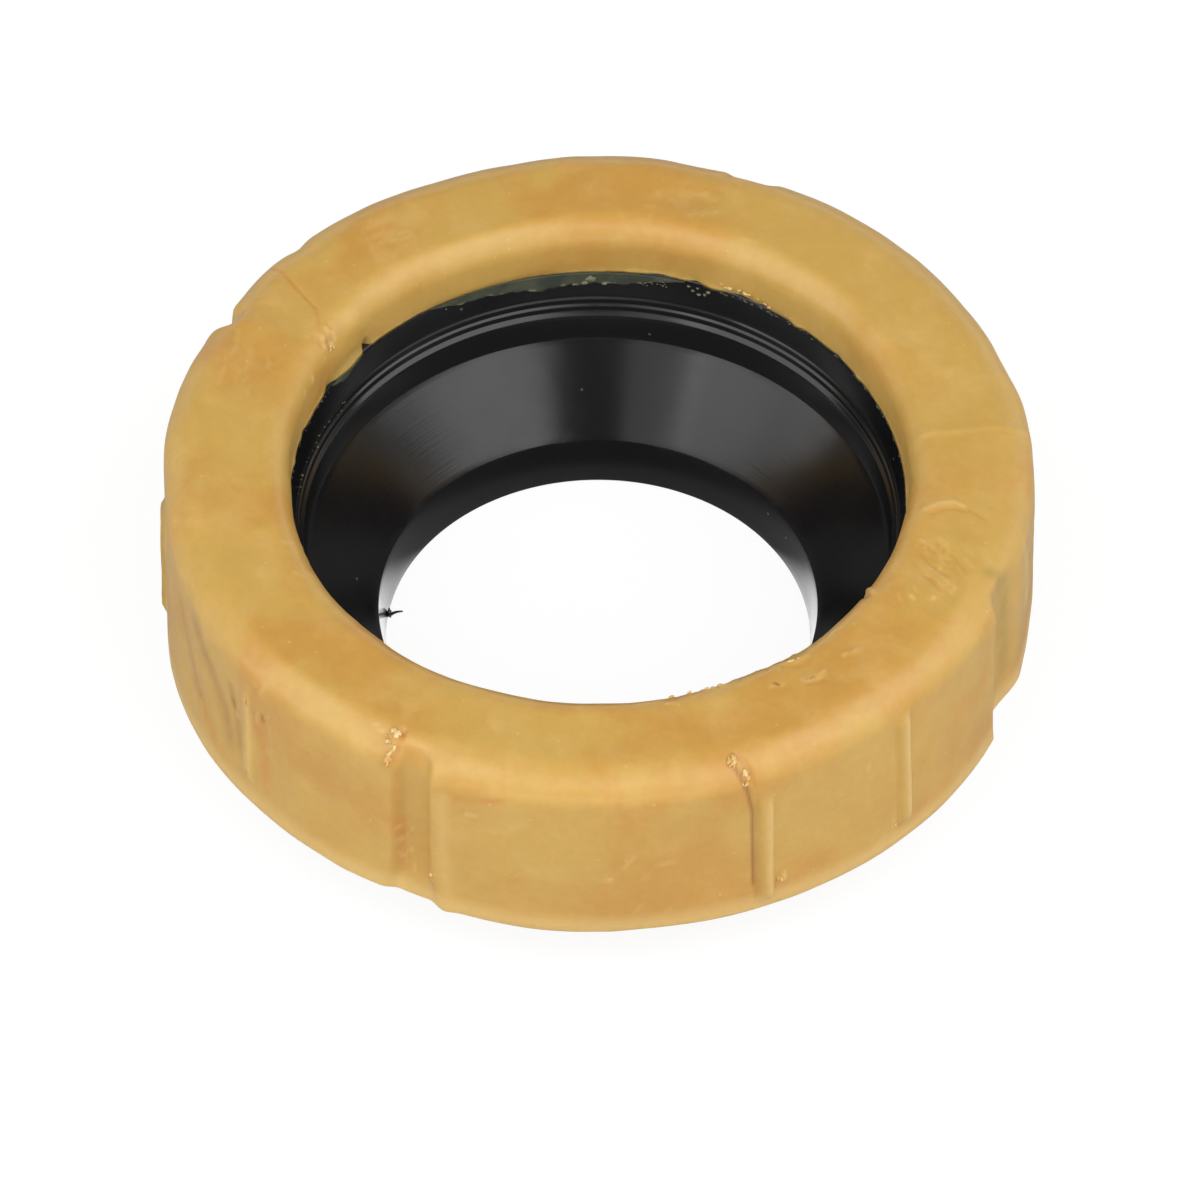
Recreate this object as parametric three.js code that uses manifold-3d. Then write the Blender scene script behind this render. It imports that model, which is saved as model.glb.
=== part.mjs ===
// Toilet pan seal: a cast wax ring round a moulded plastic horn.
// Millimetres, +Z up. The origin is the centre of the horn's mouth, on the plane the seal stands on.

import * as THREE from 'three';
import { mergeVertices } from 'three/addons/utils/BufferGeometryUtils.js';
import Module from 'manifold-3d';

const manifold = await Module();
manifold.setup();

// Round forms
const turnSegments = 96;
const arcSegments = 6;

// Wax to plastic, all the way round the flange and collar
const seatGap = 0.3;

// Horn, inner faces from the mouth upwards
const mouthRadius = 29.4;
const spoutDraft = 0.9;
const spoutLength = 7.4;
const coneSpread = 9.6;
const coneHeight = 10.7;
const bandHeight = 4.7;
const bandDraft = 0.3;
const mainLedge = 0.55;
const fineLedge = 0.25;
const mainLedgeRise = 0.55;
const fineLedgeRise = 0.3;
const fineStepHeight = 1.1;
const collarTopDraft = 0.35;
const collarPlainHeight = 3.65;
const collarRounding = 0.9;

// Horn, outer faces
const hornWall = 1.6;
const collarFootWall = 2.1;
const collarTopWall = 1.5;
const flangeThickness = 1.6;

// Wax ring
const waxUnderside = 9.4;
const waxHeight = 28.5;
const waxFootRadius = 60.3;
const waxDraft = 1.1;
const shoulderRounding = 4.5;
const footRounding = 1.2;
const waxCoverOverFlange = 5.2;
const lipStandBack = 0.3;
const waxMouthDraft = 0.4;
const mouthRounding = 4.2;
const innerFootRounding = 0.8;

// Grip grooves in the wax wall, by azimuth in degrees
const grooveAzimuths = [68, 152, 245.5];
const grooveMouth = 8.2;
const grooveFloor = 4.4;
const grooveDepth = 1.6;
const grooveCorner = 0.7;

// Lopsided groove on the right: a steep flank towards the camera and a long gentle one
const lopsidedAzimuth = 337;
const steepFlank = 2.6;
const gentleFlank = 7.4;
const lopsidedFloor = 1.6;
const lopsidedDepth = 2.1;
const lopsidedCorner = 0.4;

// Upright mould ribs on the wax wall
const ribAzimuths = [184, 218, 291.5, 313];
const ribWidth = 2.4;
const ribProud = 0.7;
const ribFoot = 2.4;
const ribHeight = 20.5;

// Horn radii and levels that follow
const throatRadius = mouthRadius + spoutDraft;
const coneTopRadius = throatRadius + coneSpread;
const bandTopRadius = coneTopRadius + bandDraft;
const firstStepRadius = bandTopRadius + mainLedge;
const secondStepRadius = firstStepRadius + fineLedge;
const thirdStepRadius = secondStepRadius + fineLedge;
const collarTopRadius = thirdStepRadius + collarTopDraft;
const collarOuterFoot = coneTopRadius + collarFootWall;
const collarOuterTop = collarTopRadius + collarTopWall;
const coneTop = spoutLength + coneHeight;
const bandTop = coneTop + bandHeight;
const firstStepLevel = bandTop + mainLedgeRise;
const secondStepLevel = firstStepLevel + fineStepHeight + fineLedgeRise;
const thirdStepLevel = secondStepLevel + fineStepHeight + fineLedgeRise;
const flangeTop = thirdStepLevel + collarPlainHeight;
const flangeUnderside = flangeTop - flangeThickness;

// Wax radii and levels that follow
const waxTop = waxUnderside + waxHeight;
const shoulderStart = waxTop - shoulderRounding;
const waxShoulderRadius = waxFootRadius - waxDraft;
const flangeRadius = waxShoulderRadius - waxCoverOverFlange;
const waxLipRadius = collarTopRadius + lipStandBack;
const waxMouthRadius = waxLipRadius + waxMouthDraft;
const wallRise = shoulderStart - waxUnderside - footRounding;
const wallLean = Math.atan2(waxDraft, wallRise);

function arc(centreX, centreY, radius, startDegrees, endDegrees, segments = arcSegments) {
  const points = [];
  for (let step = 0; step <= segments; step += 1) {
    const angle = THREE.MathUtils.degToRad(startDegrees + (endDegrees - startDegrees) * step / segments);
    points.push(new THREE.Vector2(centreX + radius * Math.cos(angle), centreY + radius * Math.sin(angle)));
  }
  return points;
}

function point(radius, height) {
  return new THREE.Vector2(radius, height);
}

// Turns a closed profile of radius and height about +Z
function revolve(profile) {
  const closed = [...profile, profile[0].clone()];
  const geometry = new THREE.LatheGeometry(closed, turnSegments);
  geometry.rotateX(Math.PI / 2);
  return geometry;
}

function weld(geometry) {
  const bare = geometry.clone();
  bare.deleteAttribute('normal');
  bare.deleteAttribute('uv');
  return mergeVertices(bare, 1e-4);
}

function toSolid(geometry) {
  const welded = weld(geometry);
  const mesh = new manifold.Mesh({
    numProp: 3,
    vertProperties: new Float32Array(welded.attributes.position.array),
    triVerts: new Uint32Array(welded.index.array),
  });
  return new manifold.Manifold(mesh);
}

function toGeometry(solid) {
  const mesh = solid.getMesh();
  const geometry = new THREE.BufferGeometry();
  geometry.setAttribute('position', new THREE.BufferAttribute(new Float32Array(mesh.vertProperties), 3));
  geometry.setIndex(new THREE.BufferAttribute(new Uint32Array(mesh.triVerts), 1));
  geometry.computeVertexNormals();
  return geometry;
}

// Stands a shape made about the origin against the leaning wall, at one azimuth
function placeOnWall(geometry, azimuth, middleHeight) {
  const share = (middleHeight - waxUnderside - footRounding) / wallRise;
  const wallRadius = waxFootRadius - waxDraft * share;
  geometry.rotateY(-wallLean);
  geometry.translate(wallRadius, 0, middleHeight);
  geometry.rotateZ(THREE.MathUtils.degToRad(azimuth));
  return geometry;
}

// Wax section: an open-jawed ring that holds the flange between its upper and lower halves
function waxProfile() {
  const upperSeat = flangeTop + seatGap;
  const lowerSeat = flangeUnderside - seatGap;
  const slotEnd = flangeRadius + seatGap;
  const lowerBore = collarOuterFoot + seatGap;
  const footCentre = waxUnderside + footRounding;
  const innerFootCentre = waxUnderside + innerFootRounding;
  return [
    ...arc(lowerBore + innerFootRounding, innerFootCentre, innerFootRounding, 180, 270, 2),
    ...arc(waxFootRadius - footRounding, footCentre, footRounding, -90, 0, 3),
    ...arc(waxShoulderRadius - shoulderRounding, shoulderStart, shoulderRounding, 0, 90),
    ...arc(waxMouthRadius + mouthRounding, waxTop - mouthRounding, mouthRounding, 90, 180),
    point(waxLipRadius, upperSeat),
    point(slotEnd, upperSeat),
    point(slotEnd, lowerSeat),
    point(collarOuterTop + seatGap, lowerSeat),
    point(lowerBore, coneTop),
  ];
}

// Horn section: spout, cone, stepped collar and flange, with the inner face drawn first
function hornProfile() {
  const coneAngle = Math.atan2(coneTopRadius - throatRadius, coneHeight);
  const wallAcross = hornWall / Math.cos(coneAngle);
  const throatDrop = hornWall * Math.tan(coneAngle / 2);
  const coneOutsideAt = (radius) => spoutLength + (radius - wallAcross - throatRadius) / Math.tan(coneAngle);
  return [
    point(mouthRadius + hornWall, 0),
    point(throatRadius + hornWall, spoutLength - throatDrop),
    point(collarOuterFoot, coneOutsideAt(collarOuterFoot)),
    point(collarOuterTop, flangeUnderside),
    point(flangeRadius, flangeUnderside),
    point(flangeRadius, flangeTop),
    ...arc(collarTopRadius + collarRounding, flangeTop - collarRounding, collarRounding, 90, 180, 3),
    point(thirdStepRadius, thirdStepLevel),
    point(secondStepRadius, thirdStepLevel - fineLedgeRise),
    point(secondStepRadius, secondStepLevel),
    point(firstStepRadius, secondStepLevel - fineLedgeRise),
    point(firstStepRadius, firstStepLevel),
    point(bandTopRadius, bandTop),
    point(coneTopRadius, coneTop),
    point(throatRadius, spoutLength),
    point(mouthRadius, 0),
  ];
}

// Upright channel cutter: a floor with round corners between two slanted flanks. The first flank
// faces anticlockwise seen from above, and each reaches as far from the middle as its width says.
function grooveCutter(azimuth, firstWidth, secondWidth, floor, depth, corner) {
  const floorHalf = floor / 2;
  const firstSlant = (firstWidth - floorHalf) / depth;
  const secondSlant = (secondWidth - floorHalf) / depth;
  const reach = depth;
  const outline = new THREE.Shape();
  outline.moveTo(reach, -firstWidth - firstSlant * reach);
  outline.lineTo(reach, secondWidth + secondSlant * reach);
  outline.lineTo(corner - depth, floorHalf + secondSlant * corner);
  outline.quadraticCurveTo(-depth, floorHalf, -depth, floorHalf - corner);
  outline.lineTo(-depth, corner - floorHalf);
  outline.quadraticCurveTo(-depth, -floorHalf, corner - depth, -floorHalf - firstSlant * corner);
  const height = 2 * waxHeight;
  const geometry = new THREE.ExtrudeGeometry(outline, {
    depth: height,
    bevelEnabled: false,
    curveSegments: 3,
  });
  geometry.translate(0, 0, -height / 2);
  return placeOnWall(geometry, azimuth, waxUnderside + waxHeight / 2);
}

// Rounded upright bar, mostly sunk in the wall
function mouldRib(azimuth) {
  const radius = ribWidth / 2;
  const geometry = new THREE.CapsuleGeometry(radius, ribHeight - ribWidth, 3, 12, 1);
  geometry.rotateX(Math.PI / 2);
  geometry.translate(ribProud - radius, 0, 0);
  return placeOnWall(geometry, azimuth, waxUnderside + ribFoot + ribHeight / 2);
}

function buildWaxRing() {
  let solid = toSolid(revolve(waxProfile()));
  for (const azimuth of ribAzimuths) {
    solid = solid.add(toSolid(mouldRib(azimuth)));
  }
  const half = grooveMouth / 2;
  for (const azimuth of grooveAzimuths) {
    solid = solid.subtract(toSolid(grooveCutter(azimuth, half, half, grooveFloor, grooveDepth, grooveCorner)));
  }
  solid = solid.subtract(toSolid(grooveCutter(
    lopsidedAzimuth,
    steepFlank,
    gentleFlank,
    lopsidedFloor,
    lopsidedDepth,
    lopsidedCorner,
  )));
  const wax = new THREE.MeshStandardMaterial({ color: 0xd2a65c, roughness: 0.45, metalness: 0 });
  const mesh = new THREE.Mesh(toGeometry(solid), wax);
  mesh.name = 'wax_ring';
  return mesh;
}

function buildHorn() {
  const polyethylene = new THREE.MeshStandardMaterial({ color: 0x1b1a1c, roughness: 0.28, metalness: 0 });
  const mesh = new THREE.Mesh(weld(revolve(hornProfile())), polyethylene);
  mesh.geometry.computeVertexNormals();
  mesh.name = 'horn';
  return mesh;
}

const panSeal = new THREE.Group();
panSeal.add(buildWaxRing());
panSeal.add(buildHorn());

export default panSeal;
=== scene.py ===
"""Toilet pan seal: a cast ring of honey wax round a black plastic horn.

Metres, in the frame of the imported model: +Z runs up the bore from the horn's mouth, and -Y
points towards the camera. Azimuths are degrees from +X, counter-clockwise seen from above.
"""

import logging
import math
from dataclasses import dataclass, field, replace
from enum import Enum

import bpy
import numpy as np
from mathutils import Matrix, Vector


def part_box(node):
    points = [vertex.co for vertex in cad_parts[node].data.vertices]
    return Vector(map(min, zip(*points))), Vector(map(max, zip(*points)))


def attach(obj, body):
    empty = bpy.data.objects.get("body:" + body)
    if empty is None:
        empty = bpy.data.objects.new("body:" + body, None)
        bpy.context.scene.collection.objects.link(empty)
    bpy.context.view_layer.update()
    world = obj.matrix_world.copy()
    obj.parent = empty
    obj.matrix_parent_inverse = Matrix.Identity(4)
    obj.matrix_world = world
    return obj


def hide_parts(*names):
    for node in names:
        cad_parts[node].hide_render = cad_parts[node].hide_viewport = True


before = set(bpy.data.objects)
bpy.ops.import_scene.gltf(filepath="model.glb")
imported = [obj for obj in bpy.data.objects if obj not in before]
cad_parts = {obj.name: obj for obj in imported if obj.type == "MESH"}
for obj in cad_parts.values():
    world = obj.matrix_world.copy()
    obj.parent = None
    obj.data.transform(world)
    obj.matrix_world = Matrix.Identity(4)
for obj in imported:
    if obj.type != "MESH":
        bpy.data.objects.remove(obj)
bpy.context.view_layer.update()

MM = 0.001
LOG = logging.getLogger("pan_seal")

Colour = tuple[float, float, float, float]
Place = tuple[float, float]


def screen_tone(red: int, green_and_shade: int, blue: int) -> Colour:
    """Turns a tone as it shows on screen into the linear colour that a shader takes.

    Args:
        red: red from 0 to 255.
        green_and_shade: green from 0 to 255.
        blue: blue from 0 to 255.

    Returns:
        Linear red, green and blue, and an alpha of 1.
    """
    shares = (value / 255 for value in (red, green_and_shade, blue))
    linear = [s / 12.92 if s <= 0.04045 else ((s + 0.055) / 1.055) ** 2.4 for s in shares]
    return (linear[0], linear[1], linear[2], 1.0)


def smooth_step(start: float, end: float, value: np.ndarray) -> np.ndarray:
    """Rises smoothly from 0 at start to 1 at end.

    Args:
        start: where the rise begins.
        end: where the rise is complete; it may lie below start.
        value: places to evaluate.

    Returns:
        Shares between 0 and 1.
    """
    share = np.clip((value - start) / (end - start), 0.0, 1.0)
    return share * share * (3.0 - 2.0 * share)


def azimuth_gap(azimuth: np.ndarray, centre: float) -> np.ndarray:
    """Signed degrees from a centre azimuth, the short way round."""
    return (azimuth - centre + 180.0) % 360.0 - 180.0


def bell(value: np.ndarray, width: float) -> np.ndarray:
    """Bell curve of height 1 that falls to a third at one width from 0."""
    return np.exp(-np.square(value / width))


@dataclass(frozen=True)
class Corner:
    """One corner of a closed section.

    Attributes:
        radius: distance from the bore's axis.
        height: height above the horn's mouth.
        rounding: radius of the fillet at the corner.
        step: spacing of the samples along the run that leaves the corner.
    """

    radius: float
    height: float
    rounding: float = 0.0
    step: float = 2.0 * MM


def lump_points(
    centre: Vector,
    along: Vector,
    aside: Vector,
    out: Vector,
    rng: np.random.Generator,
    turns: int,
    rings: int,
) -> list[Vector]:
    """Points of one small uneven lump.

    Args:
        centre: its middle.
        along: half of its length, as a vector.
        aside: half of its width, as a vector.
        out: half of its thickness, as a vector.
        rng: source of its unevenness.
        turns: points round it.
        rings: bands from its back to its front.

    Returns:
        The points, ring after ring.
    """
    points = []
    for ring in range(rings + 1):
        lift = math.pi * (ring / rings - 0.5) * 0.94
        for turn in range(turns):
            side = 2 * math.pi * turn / turns
            size = rng.uniform(0.6, 1.25) * math.cos(lift)
            flat = along * math.cos(side) + aside * math.sin(side)
            points.append(centre + flat * size + out * math.sin(lift) * rng.uniform(0.7, 1.2))
    return points


def lump_faces(count: int, turns: int, rings: int) -> list[tuple[int, ...]]:
    """Faces of lumps whose points follow one another.

    Args:
        count: how many lumps there are.
        turns: points round each.
        rings: bands from back to front of each.

    Returns:
        Point numbers of each face.
    """
    faces: list[tuple[int, ...]] = []
    for number in range(count):
        start = number * turns * (rings + 1)
        for ring in range(rings):
            for turn in range(turns):
                a = start + ring * turns + turn
                b = start + ring * turns + (turn + 1) % turns
                faces.append((a, b, b + turns, a + turns))
        faces.append(tuple(start + turn for turn in reversed(range(turns))))
        faces.append(tuple(start + rings * turns + turn for turn in range(turns)))
    return faces


@dataclass
class Section:
    """Closed outline in radius and height, drawn from its corners.

    Attributes:
        corners: corners in order round the outline, with the solid on the left.
        arc_step: spacing of the samples on the fillets.
        points: the samples, as radius and height.
        normals: outward direction at each sample.
        stations: distance over the outline to each sample.
    """

    corners: list[Corner]
    arc_step: float = 0.5 * MM
    points: np.ndarray = field(init=False)
    normals: np.ndarray = field(init=False)
    stations: np.ndarray = field(init=False)

    def __post_init__(self) -> None:
        """Samples the outline, and works out its normals and the distance along it."""
        samples: list[np.ndarray] = []
        fillets = [self._fillet(index) for index in range(len(self.corners))]
        for index, corner in enumerate(self.corners):
            samples.extend(fillets[index])
            start = fillets[index][-1]
            end = fillets[(index + 1) % len(fillets)][0]
            count = int(np.linalg.norm(end - start) / corner.step)
            samples.extend(start + (end - start) * share for share in np.linspace(0, 1, count + 2)[1:-1])
        self.points = np.array(samples)
        ahead = np.roll(self.points, -1, axis=0) - self.points
        lengths = np.linalg.norm(ahead, axis=1)
        self.stations = np.concatenate([[0.0], np.cumsum(lengths)[:-1]])
        tangents = ahead / lengths[:, None]
        tangents = tangents + np.roll(tangents, 1, axis=0)
        tangents /= np.linalg.norm(tangents, axis=1)[:, None]
        self.normals = np.stack([tangents[:, 1], -tangents[:, 0]], axis=1)

    def _fillet(self, index: int) -> list[np.ndarray]:
        """Samples the fillet of one corner.

        Args:
            index: the corner's place in the list.

        Returns:
            Points from the start to the end of the fillet, or the corner alone if it is sharp.
        """
        corner = self.corners[index]
        here = self._place(index)
        if corner.rounding == 0.0:
            return [here]
        back = self._place(index - 1) - here
        ahead = self._place(index + 1) - here
        back /= np.linalg.norm(back)
        ahead /= np.linalg.norm(ahead)
        half_opening = math.acos(float(np.clip(back @ ahead, -1, 1))) / 2
        reach = corner.rounding / math.tan(half_opening)
        middle = back + ahead
        centre = here + middle / np.linalg.norm(middle) * corner.rounding / math.sin(half_opening)
        first = here + back * reach - centre
        last = here + ahead * reach - centre
        begin = math.atan2(first[1], first[0])
        sweep = (math.atan2(last[1], last[0]) - begin + math.pi) % (2 * math.pi) - math.pi
        count = max(3, math.ceil(abs(sweep) * corner.rounding / self.arc_step))
        angles = begin + sweep * np.linspace(0, 1, count + 1)
        return [centre + corner.rounding * np.array([math.cos(a), math.sin(a)]) for a in angles]

    def _place(self, index: int) -> np.ndarray:
        """Radius and height of a corner, counting round the outline."""
        corner = self.corners[index % len(self.corners)]
        return np.array([corner.radius, corner.height])


def add_mesh(name: str, points: np.ndarray, faces: list[tuple[int, ...]] | np.ndarray) -> bpy.types.Object:
    """Adds a smooth-shaded mesh whose place is in its points.

    Args:
        name: name of the object and its mesh.
        points: one row of x, y and z for each point.
        faces: point numbers of each face.

    Returns:
        The new object, at the origin.
    """
    mesh = bpy.data.meshes.new(name)
    rows = [tuple(int(number) for number in face) for face in faces]
    mesh.from_pydata([tuple(float(c) for c in point) for point in points], [], rows)
    mesh.validate()
    mesh.shade_smooth()
    piece = bpy.data.objects.new(name, mesh)
    bpy.context.scene.collection.objects.link(piece)
    return piece


def add_mask(piece: bpy.types.Object, name: str, values: np.ndarray) -> None:
    """Stores one number for each point of a mesh, for its material to read.

    Args:
        piece: the mesh object.
        name: name that the material's attribute node asks for.
        values: one number for each point.
    """
    layer = piece.data.attributes.new(name, "FLOAT", "POINT")
    layer.data.foreach_set("value", np.ascontiguousarray(values, dtype=np.float32).ravel())


def ring_faces(columns: int, rows: int) -> np.ndarray:
    """Faces of a grid that closes on itself both ways.

    Args:
        columns: stations round the axis.
        rows: samples round the section.

    Returns:
        Four point numbers for each face, facing outwards for a section with the solid on its left.
    """
    column, row = np.meshgrid(np.arange(columns), np.arange(rows), indexing="ij")
    next_column = (column + 1) % columns
    next_row = (row + 1) % rows
    corners = [
        column * rows + row,
        next_column * rows + row,
        next_column * rows + next_row,
        column * rows + next_row,
    ]
    return np.stack(corners, axis=-1).reshape(-1, 4)


class Sketch:
    """Short hand for placing and wiring the nodes of one shader tree."""

    FIRST_COLOUR = 6
    SECOND_COLOUR = 7
    MIXED_COLOUR = 2

    def __init__(self, tree: bpy.types.NodeTree) -> None:
        """Starts work on a tree.

        Args:
            tree: the tree that takes the nodes.
        """
        self.tree = tree

    def place(
        self, kind: str, inputs: dict[str | int, object] | None = None, **settings: object
    ) -> bpy.types.Node:
        """Places a node, sets its properties and fills its sockets.

        Args:
            kind: the node's type name.
            inputs: a value, or an output socket to wire, for each named or numbered input.
            settings: properties of the node.

        Returns:
            The new node.
        """
        node = self.tree.nodes.new(kind)
        for name, value in settings.items():
            setattr(node, name, value)
        for key, value in (inputs or {}).items():
            if isinstance(value, bpy.types.NodeSocket):
                self.tree.links.new(value, node.inputs[key])
            else:
                node.inputs[key].default_value = value
        return node

    def sum_up(self, operation: str, first: object, second: object = 0.0) -> bpy.types.NodeSocket:
        """Does one step of arithmetic.

        Args:
            operation: Blender's name of the step, such as MULTIPLY.
            first: a number or an output socket.
            second: a number or an output socket.

        Returns:
            The result's socket.
        """
        return self.place("ShaderNodeMath", {0: first, 1: second}, operation=operation).outputs[0]

    def span(
        self, value: object, low: object, high: object, start: float = 0.0, end: float = 1.0
    ) -> bpy.types.NodeSocket:
        """Maps a range onto another with soft ends.

        Args:
            value: a number or an output socket.
            low: value that gives start, a number or an output socket.
            high: value that gives end, a number or an output socket.
            start: result at low.
            end: result at high.

        Returns:
            The result's socket.
        """
        inputs = {"Value": value, "From Min": low, "From Max": high, "To Min": start, "To Max": end}
        return self.place("ShaderNodeMapRange", inputs, interpolation_type="SMOOTHSTEP").outputs[0]

    def blend(self, share: object, first: object, second: object, mode: str = "MIX") -> bpy.types.NodeSocket:
        """Blends two colours.

        Args:
            share: how much of the second colour shows.
            first: a colour or an output socket.
            second: a colour or an output socket.
            mode: Blender's name of the blend.

        Returns:
            The blended colour's socket.
        """
        inputs = {0: share, self.FIRST_COLOUR: first, self.SECOND_COLOUR: second}
        node = self.place("ShaderNodeMix", inputs, data_type="RGBA", blend_type=mode)
        return node.outputs[self.MIXED_COLOUR]

    def noise(
        self, vector: object, scale: object, detail: float = 2.0, roughness: float = 0.5
    ) -> bpy.types.NodeSocket:
        """Places a cloud noise.

        Args:
            vector: the place that the noise is read at.
            scale: repeats in one metre.
            detail: how many finer layers it has.
            roughness: how strong the finer layers are.

        Returns:
            The noise's value socket.
        """
        inputs = {"Vector": vector, "Scale": scale, "Detail": detail, "Roughness": roughness}
        return self.place("ShaderNodeTexNoise", inputs).outputs[0]

    def vector(self, operation: str, first: object, second: object) -> bpy.types.NodeSocket:
        """Does one step of arithmetic on two vectors.

        Args:
            operation: Blender's name of the step, such as SUBTRACT.
            first: a vector or an output socket.
            second: a vector or an output socket.

        Returns:
            The result's socket.
        """
        return self.place("ShaderNodeVectorMath", {0: first, 1: second}, operation=operation).outputs[0]

    def distance(self) -> bpy.types.NodeSocket:
        """Gives the distance from the object's origin, in metres."""
        node = self.place("ShaderNodeVectorMath", {0: self.position()}, operation="LENGTH")
        return node.outputs["Value"]

    def axis(self, vector: object, name: str) -> bpy.types.NodeSocket:
        """Gives one of a vector's three numbers, by its letter."""
        return self.place("ShaderNodeSeparateXYZ", {0: vector}).outputs[name]

    def wire(self, value: bpy.types.NodeSocket, node: bpy.types.Node, name: str) -> None:
        """Wires an output socket to a node's named input."""
        self.tree.links.new(value, node.inputs[name])

    def mask(self, name: str) -> bpy.types.NodeSocket:
        """Reads a number stored on the mesh's points."""
        return self.place("ShaderNodeAttribute", attribute_name=name).outputs["Fac"]

    def position(self) -> bpy.types.NodeSocket:
        """Gives the place on the object, in metres."""
        return self.place("ShaderNodeTexCoord").outputs["Object"]


class Effect(Enum):
    """Surface effects that several finishes share, each one node group."""

    MOTTLE = "surface_mottle"
    GRAIN = "fine_grain"
    SPECKS = "fine_specks"


@dataclass
class EffectShelf:
    """Builds each shared effect once and places it where a finish asks for it.

    Attributes:
        built: the node groups made so far.
    """

    built: dict[Effect, bpy.types.NodeTree] = field(default_factory=dict)

    def place(self, sketch: Sketch, effect: Effect, inputs: dict[str, object]) -> bpy.types.Node:
        """Places an effect in a material.

        Args:
            sketch: the material's tree.
            effect: which effect.
            inputs: its settings by name.

        Returns:
            The group node.
        """
        if effect not in self.built:
            makers = {Effect.MOTTLE: self._mottle, Effect.GRAIN: self._grain, Effect.SPECKS: self._specks}
            self.built[effect] = makers[effect]()
        return sketch.place("ShaderNodeGroup", inputs, node_tree=self.built[effect])

    @staticmethod
    def _start(
        effect: Effect, inputs: dict[str, float], outputs: tuple[str, ...]
    ) -> tuple[Sketch, bpy.types.Node, bpy.types.Node]:
        """Opens a group with a Position input, number inputs and number outputs.

        Args:
            effect: which effect the group is for.
            inputs: each number input's name and usual value.
            outputs: the outputs' names.

        Returns:
            The group's sketch, its input node and its output node.
        """
        tree = bpy.data.node_groups.new(effect.value, "ShaderNodeTree")
        tree.interface.new_socket("Position", in_out="INPUT", socket_type="NodeSocketVector")
        for name, value in inputs.items():
            socket = tree.interface.new_socket(name, in_out="INPUT", socket_type="NodeSocketFloat")
            socket.default_value = value
        for name in outputs:
            tree.interface.new_socket(name, in_out="OUTPUT", socket_type="NodeSocketFloat")
        sketch = Sketch(tree)
        return sketch, sketch.place("NodeGroupInput"), sketch.place("NodeGroupOutput")

    def _mottle(self) -> bpy.types.NodeTree:
        """Builds soft cloudy patches that drift into each other.

        Returns:
            The group, with the outputs Patches and Clouds.
        """
        sketch, given, result = self._start(
            Effect.MOTTLE, {"Scale": 60.0, "Drift": 0.01, "Low": 0.4, "High": 0.6}, ("Patches", "Clouds")
        )
        position = given.outputs["Position"]
        scale = given.outputs["Scale"]
        wander = sketch.place("ShaderNodeTexNoise", {"Vector": position, "Scale": scale, "Detail": 2.0})
        centred = sketch.vector("SUBTRACT", wander.outputs["Color"], (0.5, 0.5, 0.5))
        inputs = {0: centred, "Scale": given.outputs["Drift"]}
        pushed = sketch.place("ShaderNodeVectorMath", inputs, operation="SCALE").outputs[0]
        moved = sketch.vector("ADD", position, pushed)
        clouds = sketch.noise(moved, scale, detail=5.0, roughness=0.58)
        patches = sketch.span(clouds, given.outputs["Low"], given.outputs["High"])
        sketch.wire(patches, result, "Patches")
        sketch.wire(clouds, result, "Clouds")
        return sketch.tree

    def _grain(self) -> bpy.types.NodeTree:
        """Builds fine grain as a height, with a slower swell under it.

        Returns:
            The group, with the output Height.
        """
        sketch, given, result = self._start(Effect.GRAIN, {"Scale": 900.0, "Swell": 0.5}, ("Height",))
        position = given.outputs["Position"]
        scale = given.outputs["Scale"]
        grain = sketch.noise(position, scale, detail=4.0, roughness=0.6)
        slower = sketch.noise(position, sketch.sum_up("MULTIPLY", scale, 0.22), detail=2.0)
        swell = sketch.sum_up("MULTIPLY", slower, given.outputs["Swell"])
        sketch.wire(sketch.sum_up("ADD", grain, swell), result, "Height")
        return sketch.tree

    def _specks(self) -> bpy.types.NodeTree:
        """Builds sparse small specks of uneven size.

        Returns:
            The group, with the output Mask.
        """
        settings = {"Scale": 300.0, "Size": 0.1, "Share": 0.3}
        sketch, given, result = self._start(Effect.SPECKS, settings, ("Mask",))
        inputs = {"Vector": given.outputs["Position"], "Scale": given.outputs["Scale"]}
        cells = sketch.place("ShaderNodeTexVoronoi", inputs)
        inside = sketch.sum_up("LESS_THAN", cells.outputs["Distance"], given.outputs["Size"])
        split = sketch.place("ShaderNodeSeparateColor", {0: cells.outputs["Color"]})
        chosen = sketch.sum_up("LESS_THAN", split.outputs[0], given.outputs["Share"])
        sketch.wire(sketch.sum_up("MULTIPLY", inside, chosen), result, "Mask")
        return sketch.tree


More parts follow.
